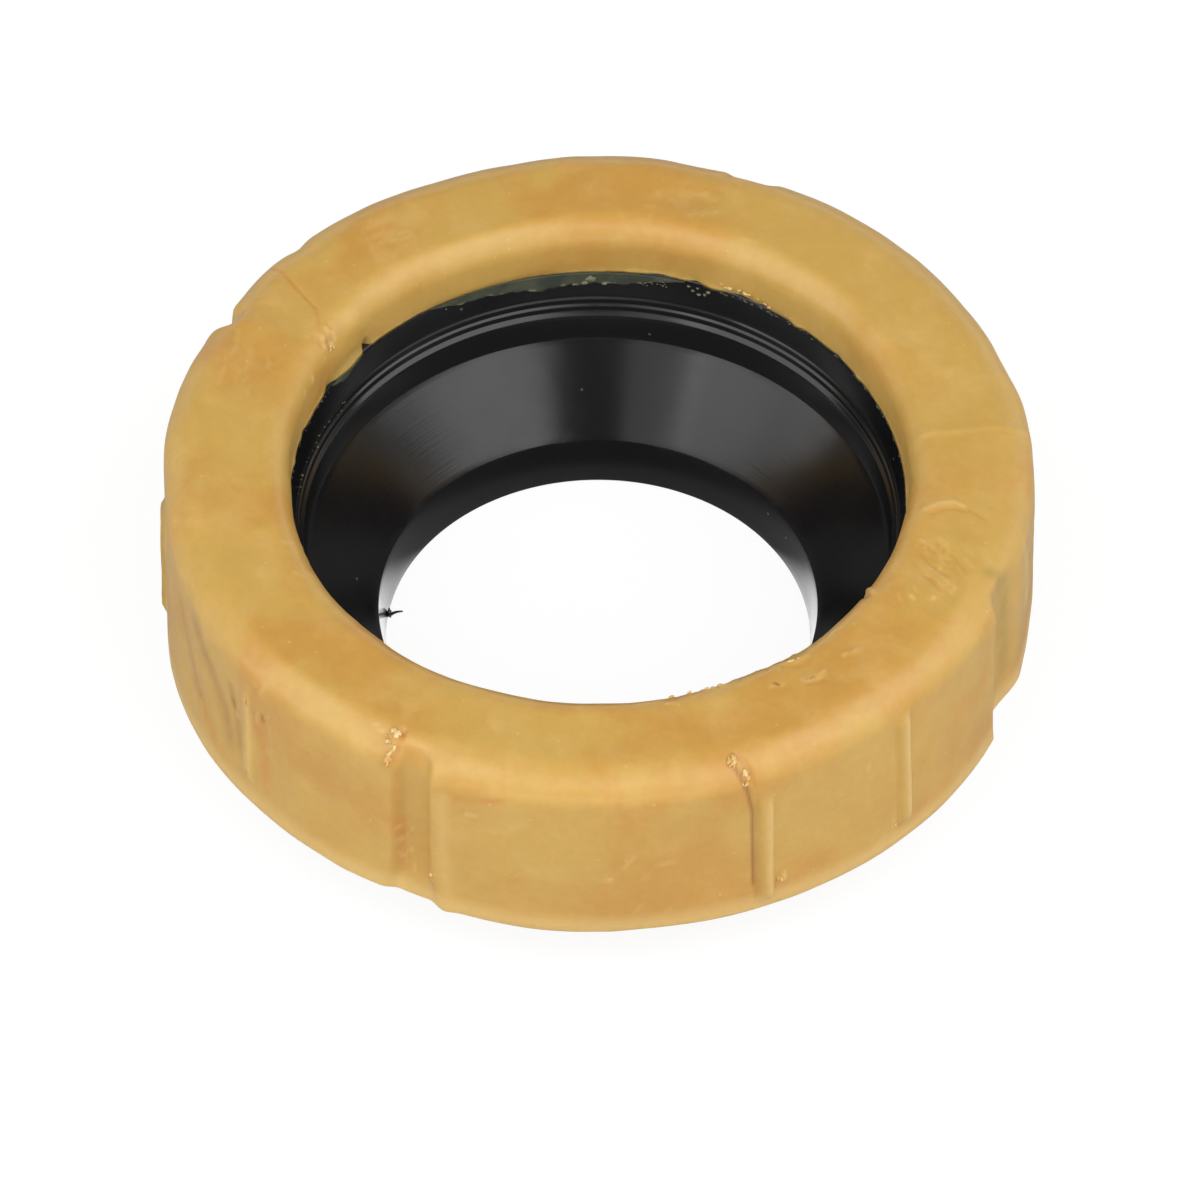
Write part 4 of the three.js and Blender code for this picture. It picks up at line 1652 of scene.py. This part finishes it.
@dataclass
class CollarSmear:
    """Thin smear of wax on the collar, below the wax's lip."""

    name: str
    horn: Horn
    finish: bpy.types.Material
    start: float
    end: float
    top: float
    drop: float
    thickness: float
    seed: int
    raggedness: float
    rows: int = 12
    columns_per_degree: int = 5
    pitches: tuple[float, ...] = (17.0, 8.0, 4.1, 2.3)

    def _edge(self, share: np.ndarray) -> np.ndarray:
        """Draws the ragged lower edge.

        Args:
            share: places along the smear, from 0 to 1.

        Returns:
            How far the smear runs down at each place.
        """
        rng = np.random.default_rng(self.seed)
        envelope = np.clip(np.sin(math.pi * share), 0, 1) ** 0.7
        wave = np.zeros_like(share)
        reach = self.end - self.start
        for pitch in self.pitches:
            phase = rng.uniform(0, 2 * math.pi)
            wave += np.sin(reach / pitch * 2 * math.pi * share + phase) * (pitch / 6.0) ** 0.7
        return self.drop * envelope * np.clip(1.0 - self.raggedness * (0.5 + 0.3 * wave), 0.06, 1.15)

    def build(self) -> bpy.types.Object:
        """Builds and dresses the smear as a closed thin shell.

        Returns:
            The smear, riding on the body.
        """
        columns = int((self.end - self.start) * self.columns_per_degree)
        share = np.linspace(0, 1, columns)
        down = np.linspace(0, 1, self.rows)
        angle = np.radians(self.start + (self.end - self.start) * share)[:, None]
        height = self.top - self._edge(share)[:, None] * down[None, :]
        wall = np.minimum(self.horn.collar_radius_at(height), self.horn.collar_radius + 0.05 * MM)
        ends = np.clip(8 * np.minimum(share, 1 - share), 0, 1)[:, None]
        depth = 0.012 * MM + self.thickness * np.sqrt(1 - down[None, :] ** 6) * ends
        shells = []
        for radius in (wall + 0.03 * MM, wall - depth):
            shell = np.stack([radius * np.cos(angle), radius * np.sin(angle), height], axis=-1)
            shells.append(shell.reshape(-1, 3))
        turns = 2 * math.pi * share * (self.end - self.start)
        patches = smooth_step(0.5, 1.2, np.sin(turns / 7.3 + 1.0) + 0.7 * np.sin(turns / 2.9))
        crust = smooth_step(0.74, 0.95, down)[None, :] * patches[:, None]
        smear = add_mesh(self.name, np.concatenate(shells), self._faces(columns))
        add_mask(smear, "pale", np.tile((0.65 * crust).ravel(), 2))
        smear.data.materials.append(self.finish)
        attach(smear, "root")
        return smear

    def _faces(self, columns: int) -> list[tuple[int, ...]]:
        """Joins the back shell, the front shell and the rim between them.

        Args:
            columns: samples along the smear.

        Returns:
            Point numbers of each face.
        """
        rows = self.rows
        front = columns * rows
        faces: list[tuple[int, ...]] = []
        for column in range(columns - 1):
            for row in range(rows - 1):
                a = column * rows + row
                b = a + rows
                faces.append((a, a + 1, b + 1, b))
                faces.append((front + a, front + b, front + b + 1, front + a + 1))
            for row in (0, rows - 1):
                a = column * rows + row
                side = (a, a + rows, front + a + rows, front + a)
                faces.append(side if row == 0 else side[::-1])
        for column in (0, columns - 1):
            for row in range(rows - 1):
                a = column * rows + row
                side = (a, a + 1, front + a + 1, front + a)
                faces.append(side[::-1] if column == 0 else side)
        return faces


@dataclass
class CollarCrumbs:
    """Crumbs of wax caught on the collar under the lip."""

    horn: Horn
    finish: bpy.types.Material
    top: float
    seed: int = 21
    placed: tuple[tuple[float, float, float], ...] = (
        (91.4, 1.1 * MM, 0.95 * MM),
        (88.8, 1.8 * MM, 0.45 * MM),
        (94.6, 1.9 * MM, 0.3 * MM),
        (72.4, 0.6 * MM, 0.3 * MM),
        (71.5, 1.2 * MM, 0.28 * MM),
        (70.3, 1.6 * MM, 0.34 * MM),
        (69.1, 1.4 * MM, 0.28 * MM),
        (70.6, 0.6 * MM, 0.26 * MM),
        (68.4, 0.8 * MM, 0.34 * MM),
    )
    scattered: tuple[tuple[float, float, float, float, int], ...] = (
        (76.0, 88.0, 0.1 * MM, 1.8 * MM, 60),
        (44.0, 68.0, 0.0 * MM, 0.4 * MM, 50),
        (98.0, 122.0, 0.1 * MM, 1.6 * MM, 8),
        (146.0, 176.0, 4.2 * MM, 4.5 * MM, 16),
        (148.0, 166.0, 5.2 * MM, 5.4 * MM, 9),
        (-10.0, 40.0, 0.0 * MM, 0.3 * MM, 60),
        (152.0, 190.0, 0.0 * MM, 0.3 * MM, 40),
    )
    small: Place = (0.05, 0.17)
    turns: int = 8
    rings: int = 4
    paleness: float = 0.35

    def _lump(self, azimuth: float, below: float, width: float, rng: np.random.Generator) -> list[Vector]:
        """Points of one flattened uneven lump on the collar.

        Args:
            azimuth: its place round the bore.
            below: distance below the lip.
            width: its half width.
            rng: source of its unevenness.

        Returns:
            Its points.
        """
        height = self.top - below
        wall = float(self.horn.collar_radius_at(np.array(height)))
        angle = math.radians(azimuth)
        inward = Vector((-math.cos(angle), -math.sin(angle), 0))
        around = Vector((-math.sin(angle), math.cos(angle), 0))
        centre = -inward * wall + Vector((0, 0, height))
        tall = Vector((0, 0, width * rng.uniform(0.45, 0.85)))
        thick = inward * min(width * rng.uniform(0.7, 1.0), 0.3 * MM)
        return lump_points(centre, around * width, tall, thick, rng, self.turns, self.rings)

    def build(self) -> bpy.types.Object:
        """Builds and dresses the crumbs as one piece.

        Returns:
            The crumbs, riding on the body.
        """
        rng = np.random.default_rng(self.seed)
        points: list[Vector] = []
        for azimuth, below, width in self.placed:
            points.extend(self._lump(azimuth, below, width, rng))
        for first, last, near, far, count in self.scattered:
            for _ in range(count):
                below = rng.uniform(near, far)
                azimuth = rng.uniform(first, last)
                points.extend(self._lump(azimuth, below, rng.uniform(*self.small) * MM, rng))
        count = len(points) // (self.turns * (self.rings + 1))
        crumbs = add_mesh("collar_crumbs", np.array(points), lump_faces(count, self.turns, self.rings))
        add_mask(crumbs, "pale", np.full(len(points), self.paleness))
        crumbs.data.materials.append(self.finish)
        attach(crumbs, "root")
        return crumbs


@dataclass(frozen=True)
class Tear:
    """Cluster of torn bits of wax on the face.

    Attributes:
        azimuth: middle, in degrees.
        station: middle, as distance over the face from the foot.
        spread: half width round the ring.
        reach: half width over the face.
        count: how many bits it has.
        size: length of the largest.
        heading: direction of their length, degrees from round the ring towards up the face.
        lean: how far the cluster's top stands to the counter-clockwise side.
    """

    azimuth: float
    station: float
    spread: float
    reach: float
    count: int
    size: float
    heading: float = 75.0
    lean: float = 0.0


@dataclass
class TornWax:
    """Torn bits at the mould marks and by the lip.

    Attributes:
        ring: the wax ring that they lie on.
        finish: their material.
        turns: points round each bit.
        rings: bands from back to front of each bit.
        seed: seed of their places and shapes.
        tears: the clusters.
    """

    ring: WaxRing
    finish: bpy.types.Material
    turns: int = 7
    rings: int = 4
    seed: int = 5
    tears: tuple[Tear, ...] = (
        Tear(241.6, 29.3 * MM, 0.5 * MM, 1.0 * MM, 8, 1.6 * MM, 60.0),
        Tear(242.2, 26.9 * MM, 0.3 * MM, 1.3 * MM, 7, 1.7 * MM, 85.0),
        Tear(240.7, 29.0 * MM, 0.3 * MM, 0.5 * MM, 3, 0.8 * MM, 130.0),
        Tear(288.0, 28.8 * MM, 0.45 * MM, 0.9 * MM, 8, 1.4 * MM, 115.0),
        Tear(289.2, 26.4 * MM, 0.45 * MM, 1.1 * MM, 8, 1.3 * MM, 120.0, 0.5 * MM),
        Tear(293.6, 5.2 * MM, 0.25 * MM, 0.5 * MM, 3, 1.1 * MM, 80.0),
        Tear(311.2, 5.3 * MM, 0.2 * MM, 0.4 * MM, 2, 1.0 * MM, 80.0),
        Tear(284.5, 43.2 * MM, 1.6 * MM, 0.5 * MM, 5, 1.3 * MM, 12.0),
        Tear(290.5, 42.6 * MM, 1.2 * MM, 0.5 * MM, 4, 1.3 * MM, 18.0),
        Tear(300.2, 38.3 * MM, 0.6 * MM, 0.3 * MM, 3, 1.0 * MM, 14.0),
        Tear(305.4, 40.8 * MM, 1.3 * MM, 0.25 * MM, 4, 1.4 * MM, 10.0),
        Tear(305.8, 36.8 * MM, 1.1 * MM, 0.25 * MM, 4, 1.3 * MM, 10.0),
        Tear(65.5, 49.0 * MM, 1.2 * MM, 0.3 * MM, 5, 1.1 * MM, 5.0),
        Tear(61.2, 49.0 * MM, 1.0 * MM, 0.3 * MM, 5, 1.0 * MM, 5.0),
        Tear(56.6, 49.1 * MM, 1.0 * MM, 0.3 * MM, 4, 0.9 * MM, 5.0),
        Tear(50.5, 49.2 * MM, 0.9 * MM, 0.25 * MM, 4, 0.8 * MM, 5.0),
        Tear(218.6, 20.6 * MM, 0.2 * MM, 0.6 * MM, 3, 0.8 * MM, 80.0),
        Tear(248.4, 6.4 * MM, 0.4 * MM, 0.5 * MM, 4, 0.7 * MM, 40.0),
        Tear(271.4, 11.0 * MM, 0.3 * MM, 0.3 * MM, 3, 0.6 * MM, 40.0),
        Tear(149.0, 44.0 * MM, 0.8 * MM, 0.5 * MM, 4, 1.0 * MM, 10.0),
        Tear(140.8, 30.2 * MM, 0.15 * MM, 0.2 * MM, 2, 0.35 * MM, 60.0),
    )

    def _bit(self, tear: Tear, size: float, rng: np.random.Generator) -> list[Vector]:
        """Points of one torn bit.

        Args:
            tear: the cluster that it belongs to.
            size: its length.
            rng: source of its place and shape.

        Returns:
            Its points.
        """
        up_share = rng.uniform(-1, 1)
        across = tear.spread * rng.uniform(-1, 1) + tear.lean * up_share
        section = self.ring.section
        radius = float(np.interp(tear.station, section.stations, section.points[:, 0]))
        azimuth = tear.azimuth + math.degrees(across / radius)
        place, out = self.ring.surface(azimuth, tear.station + tear.reach * up_share)
        angle = math.radians(azimuth)
        around = Vector((-math.sin(angle), math.cos(angle), 0))
        over = around.cross(out).normalized()
        heading = math.radians(tear.heading + rng.uniform(-35, 35))
        along = around * math.cos(heading) + over * math.sin(heading)
        aside = out.cross(along)
        tip = out * rng.uniform(0.0, 0.5)
        narrow = rng.uniform(0.3, 0.65)
        thick = rng.uniform(0.3, 0.45)
        half = size / 2
        centre = place + out * half * 0.3
        length = (along + tip) * half
        width = aside * half * narrow
        return lump_points(centre, length, width, out * half * thick, rng, self.turns, self.rings)

    def build(self) -> list[bpy.types.Object]:
        """Builds and dresses the clusters.

        Returns:
            The clusters, riding on the body.
        """
        rng = np.random.default_rng(self.seed)
        pieces = []
        for number, tear in enumerate(self.tears, start=1):
            points: list[Vector] = []
            for _ in range(tear.count):
                points.extend(self._bit(tear, tear.size * rng.uniform(0.35, 1.0), rng))
            places = np.array(points)
            places[:, 2] = np.minimum(places[:, 2], self.ring.high.z)
            faces = lump_faces(tear.count, self.turns, self.rings)
            piece = add_mesh(f"torn_wax_{number:02d}", places, faces)
            piece.data.materials.append(self.finish)
            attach(piece, "root")
            pieces.append(piece)
        return pieces


@dataclass
class RimBurr:
    """Star-shaped burr of plastic on the horn's mouth."""

    horn: Horn
    finish: bpy.types.Material
    azimuth: float = 172.6
    core: float = 0.3 * MM
    bend: float = 0.25 * MM
    height: float = 0.4 * MM
    sides: int = 6
    steps: int = 6
    arms: tuple[tuple[float, float, float], ...] = (
        (-0.6 * MM, 1.9 * MM, 0.5 * MM),
        (-0.1 * MM, 0.1 * MM, 1.4 * MM),
        (0.5 * MM, 0.35 * MM, 0.3 * MM),
        (-0.9 * MM, 0.25 * MM, 0.1 * MM),
    )

    def build(self) -> bpy.types.Object:
        """Builds and dresses the burr from tapered bent spikes.

        Returns:
            The burr, riding on the body.
        """
        angle = math.radians(self.azimuth)
        around = Vector((-math.sin(angle), math.cos(angle), 0))
        inward = Vector((-math.cos(angle), -math.sin(angle), 0))
        up = Vector((0, 0, 1))
        middle = -inward * (self.horn.mouth_radius - 0.05 * MM) + up * self.height
        points: list[Vector] = []
        for sideways, inwards, rise in self.arms:
            end = around * sideways + inward * inwards + up * rise
            across = end.orthogonal().normalized()
            other = end.normalized().cross(across)
            for step in range(self.steps):
                share = step / (self.steps - 1)
                rising = up * self.bend * math.sin(math.pi * share)
                width = self.core * (1 - 0.6 * share**0.7)
                for side in range(self.sides):
                    turn = 2 * math.pi * side / self.sides
                    offset = across * math.cos(turn) + other * math.sin(turn)
                    points.append(middle + end * share + rising + offset * width)
        faces = lump_faces(len(self.arms), self.sides, self.steps - 1)
        burr = add_mesh("rim_burr", np.array(points), faces)
        burr.data.materials.append(self.finish)
        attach(burr, "root")
        return burr


@dataclass(frozen=True)
class Softbox:
    """One soft studio lamp.

    Attributes:
        name: the lamp's name.
        azimuth: direction it stands in.
        elevation: height of its middle above the floor, in degrees.
        distance: distance from the object.
        width: width of its face.
        height: height of its face.
        radiance: brightness of its face.
        spread: opening of its beam, in degrees.
    """

    name: str
    azimuth: float
    elevation: float
    distance: float
    width: float
    height: float
    radiance: float
    spread: float = 180.0


@dataclass
class Studio:
    """Pale floor with a painted reflection under the bore, plain world and soft lamps."""

    floor_size: float = 4.0
    floor_glow: float = 0.9
    floor_share: float = 0.14
    floor_tone: float = 0.52
    # Levels of the painted reflection under the bore, which only glossy rays see.
    bore_reach: float = 32.0 * MM
    bore_centre: float = 0.27
    bore_middle: float = 0.115
    bore_edge: float = 0.3
    bore_sides: float = 1.75
    ceiling: float = 0.16
    horizon: float = 1.25
    horizon_ends: Place = (0.16, 0.36)
    left_share: float = 0.6
    softboxes: tuple[Softbox, ...] = (
        Softbox("softbox_right", -31.0, 49.0, 1.0, 1.2, 0.85, 2.22),
        Softbox("softbox_left", -154.0, 48.5, 1.0, 0.9, 0.85, 1.9),
        Softbox("softbox_left_dim", -116.0, 49.0, 1.0, 0.44, 0.85, 0.8),
        Softbox("softbox_low_left", -160.0, 16.0, 1.0, 0.8, 0.28, 1.9),
        Softbox("softbox_low_front", -80.0, 14.0, 1.0, 1.2, 0.25, 1.1),
    )

    def build(self) -> None:
        """Builds the floor, the world and the lamps."""
        self._floor()
        self._world()
        for softbox in self.softboxes:
            self._lamp(softbox)

    def _floor(self) -> None:
        """Builds a floor that shows white, keeps the object's shadow and is clear from below; under the bore,
        glossy rays see a painted reflection.
        """
        half = self.floor_size / 2
        corners = np.array([(-half, -half, 0), (half, -half, 0), (half, half, 0), (-half, half, 0)])
        floor = add_mesh("studio_floor", corners - np.array([0, 0, 0.02 * MM]), [(0, 1, 2, 3)])
        material = bpy.data.materials.new("pale_floor")
        material.use_nodes = True
        material.node_tree.nodes.clear()
        sketch = Sketch(material.node_tree)
        tone = (self.floor_tone, self.floor_tone, self.floor_tone, 1.0)
        rest = (self.floor_share, self.floor_share, self.floor_share, 1.0)
        matt = sketch.place("ShaderNodeBsdfDiffuse", {"Color": tone})
        faint = sketch.place("ShaderNodeBsdfDiffuse", {"Color": rest})
        glow = sketch.place("ShaderNodeEmission", {"Strength": self.floor_glow})
        white = sketch.place("ShaderNodeAddShader", {0: faint.outputs[0], 1: glow.outputs[0]})
        path = sketch.place("ShaderNodeLightPath")
        seen = sketch.sum_up("MAXIMUM", path.outputs["Is Camera Ray"], path.outputs["Is Transmission Ray"])
        surface = sketch.place("ShaderNodeMixShader", {0: seen, 1: matt.outputs[0], 2: white.outputs[0]})
        # Glossy rays under the bore see a painted reflection, bright at the spout's two sides, instead of the
        # plain floor.
        mirrored = sketch.sum_up("MULTIPLY", path.outputs["Is Glossy Ray"], self._bore_mask(sketch))
        surface = sketch.place(
            "ShaderNodeMixShader", {0: mirrored, 1: surface.outputs[0], 2: self._painted_bore_reflection(sketch).outputs[0]}
        )
        clear = sketch.place("ShaderNodeBsdfTransparent")
        side = sketch.place("ShaderNodeNewGeometry").outputs["Backfacing"]
        both = sketch.place("ShaderNodeMixShader", {0: side, 1: surface.outputs[0], 2: clear.outputs[0]})
        sketch.place("ShaderNodeOutputMaterial", {"Surface": both.outputs[0]})
        floor.data.materials.append(material)

    def _bore_mask(self, sketch: Sketch) -> bpy.types.NodeSocket:
        """Share of the floor that lies under the bore."""
        return sketch.span(sketch.distance(), self.bore_reach, self.bore_reach + 2.0 * MM, 1.0, 0.0)

    def _painted_bore_reflection(self, sketch: Sketch) -> bpy.types.Node:
        """Painted reflection: a glow on the floor under the bore, seen only in the plastic's reflections,
        bright at the two sides.

        Args:
            sketch: the floor material's sketch.

        Returns:
            The shader node that gives the light.
        """
        away = sketch.distance()
        edge = sketch.span(away, 23.5 * MM, 26.5 * MM, self.bore_middle, self.bore_edge)
        aside = sketch.sum_up("ABSOLUTE", sketch.axis(sketch.position(), "X"))
        sides = sketch.span(aside, 22.5 * MM, 27.5 * MM, 0.0, self.bore_sides)
        centre = sketch.span(away, 9.0 * MM, 14.0 * MM, self.bore_centre, 0.0)
        level = sketch.sum_up("MAXIMUM", sketch.sum_up("MAXIMUM", edge, sides), centre)
        return sketch.place("ShaderNodeEmission", {"Strength": level})

    def _world(self) -> None:
        """Builds a world that is white at the horizon and dimmer overhead."""
        world = bpy.data.worlds.new("studio_world")
        world.use_nodes = True
        world.node_tree.nodes.clear()
        sketch = Sketch(world.node_tree)
        direction = sketch.place("ShaderNodeTexCoord").outputs["Generated"]
        height = sketch.axis(direction, "Z")
        level = sketch.span(height, *self.horizon_ends, self.horizon, self.ceiling)
        across = sketch.axis(direction, "X")
        level = sketch.sum_up("MULTIPLY", level, sketch.span(across, -1.0, -0.2, self.left_share, 1.0))
        background = sketch.place("ShaderNodeBackground", {"Color": (1, 1, 1, 1), "Strength": level})
        sketch.place("ShaderNodeOutputWorld", {"Surface": background.outputs[0]})
        bpy.context.scene.world = world

    @staticmethod
    def _lamp(softbox: Softbox) -> None:
        """Builds one softbox that faces the object.

        Args:
            softbox: its place, size and brightness.
        """
        lamp = bpy.data.lights.new(softbox.name, "AREA")
        lamp.shape = "RECTANGLE"
        lamp.size = softbox.width
        lamp.size_y = softbox.height
        lamp.spread = math.radians(softbox.spread)
        lamp.energy = softbox.radiance * math.pi * softbox.width * softbox.height
        holder = bpy.data.objects.new(softbox.name, lamp)
        azimuth = math.radians(softbox.azimuth)
        elevation = math.radians(softbox.elevation)
        level = math.cos(elevation)
        away = Vector((math.cos(azimuth) * level, math.sin(azimuth) * level, math.sin(elevation)))
        holder.location = away * softbox.distance
        holder.rotation_euler = away.to_track_quat("Z", "Y").to_euler()
        bpy.context.scene.collection.objects.link(holder)


@dataclass
class PhotoCamera:
    """Camera at the photograph's viewing angle.

    Attributes:
        elevation: angle above the floor.
        distance: distance from the aim, the middle of the wax's underside.
        focal_pixels: focal length in pixels of the photograph.
        picture: side of the photograph in pixels.
        aim_column: pixel column that the aim shows at.
        aim_row: pixel row that the aim shows at.
        sensor: width of the camera's sensor, in millimetres.
    """

    elevation: float = 48.5
    distance: float = 1.1
    focal_pixels: float = 7975.0
    picture: float = 1200.0
    aim_column: float = 598.0
    aim_row: float = 593.0
    sensor: float = 36.0

    def build(self) -> None:
        """Builds the camera and makes it the scene's."""
        data = bpy.data.cameras.new("photo_camera")
        data.sensor_fit = "HORIZONTAL"
        data.sensor_width = self.sensor
        data.lens = self.focal_pixels / self.picture * self.sensor
        data.shift_x = (self.picture / 2 - self.aim_column) / self.picture
        data.shift_y = (self.aim_row - self.picture / 2) / self.picture
        data.clip_start = 0.01
        data.clip_end = 50.0
        camera = bpy.data.objects.new("photo_camera", data)
        tilt = math.radians(self.elevation)
        aim = Vector((0, 0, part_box("wax_ring")[0].z))
        camera.location = aim + Vector((0, -math.cos(tilt), math.sin(tilt))) * self.distance
        camera.rotation_euler = (math.pi / 2 - tilt, 0, 0)
        bpy.context.scene.collection.objects.link(camera)
        bpy.context.scene.camera = camera


def report(piece: bpy.types.Object) -> None:
    """Logs a piece's name and how many faces it has."""
    LOG.info("%s: %d faces", piece.name, len(piece.data.polygons))


def main() -> None:
    """Builds the camera, the studio and the seal."""
    logging.basicConfig(level=logging.INFO, format="%(name)s %(message)s")
    bpy.context.scene.view_settings.view_transform = "Standard"
    PhotoCamera().build()
    Studio().build()
    shelf = EffectShelf()
    wax = HoneyWax(shelf).dress()
    plastic = BlackPolyethylene(shelf).dress()
    smeared = SmearedWax(shelf).dress()
    torn = PaleWax(shelf).dress()
    ring = WaxRing(wax)
    horn = Horn(plastic)
    report(ring.build())
    report(horn.build())
    flange_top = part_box("horn")[1].z
    report(CollarCrumbs(horn, smeared, flange_top - 0.3 * MM).build())
    top = flange_top - 0.25 * MM
    for smear in (
        CollarSmear("back_smear", horn, smeared, 73.0, 124.0, top, 2.5 * MM, 0.1 * MM, 3, 0.16),
        CollarSmear("left_smear", horn, smeared, 141.0, 151.0, top, 1.1 * MM, 0.3 * MM, 8, 0.3),
    ):
        report(smear.build())
    for piece in TornWax(ring, torn).build():
        report(piece)
    report(RimBurr(horn, plastic).build())


if __name__ == "__main__":
    main()
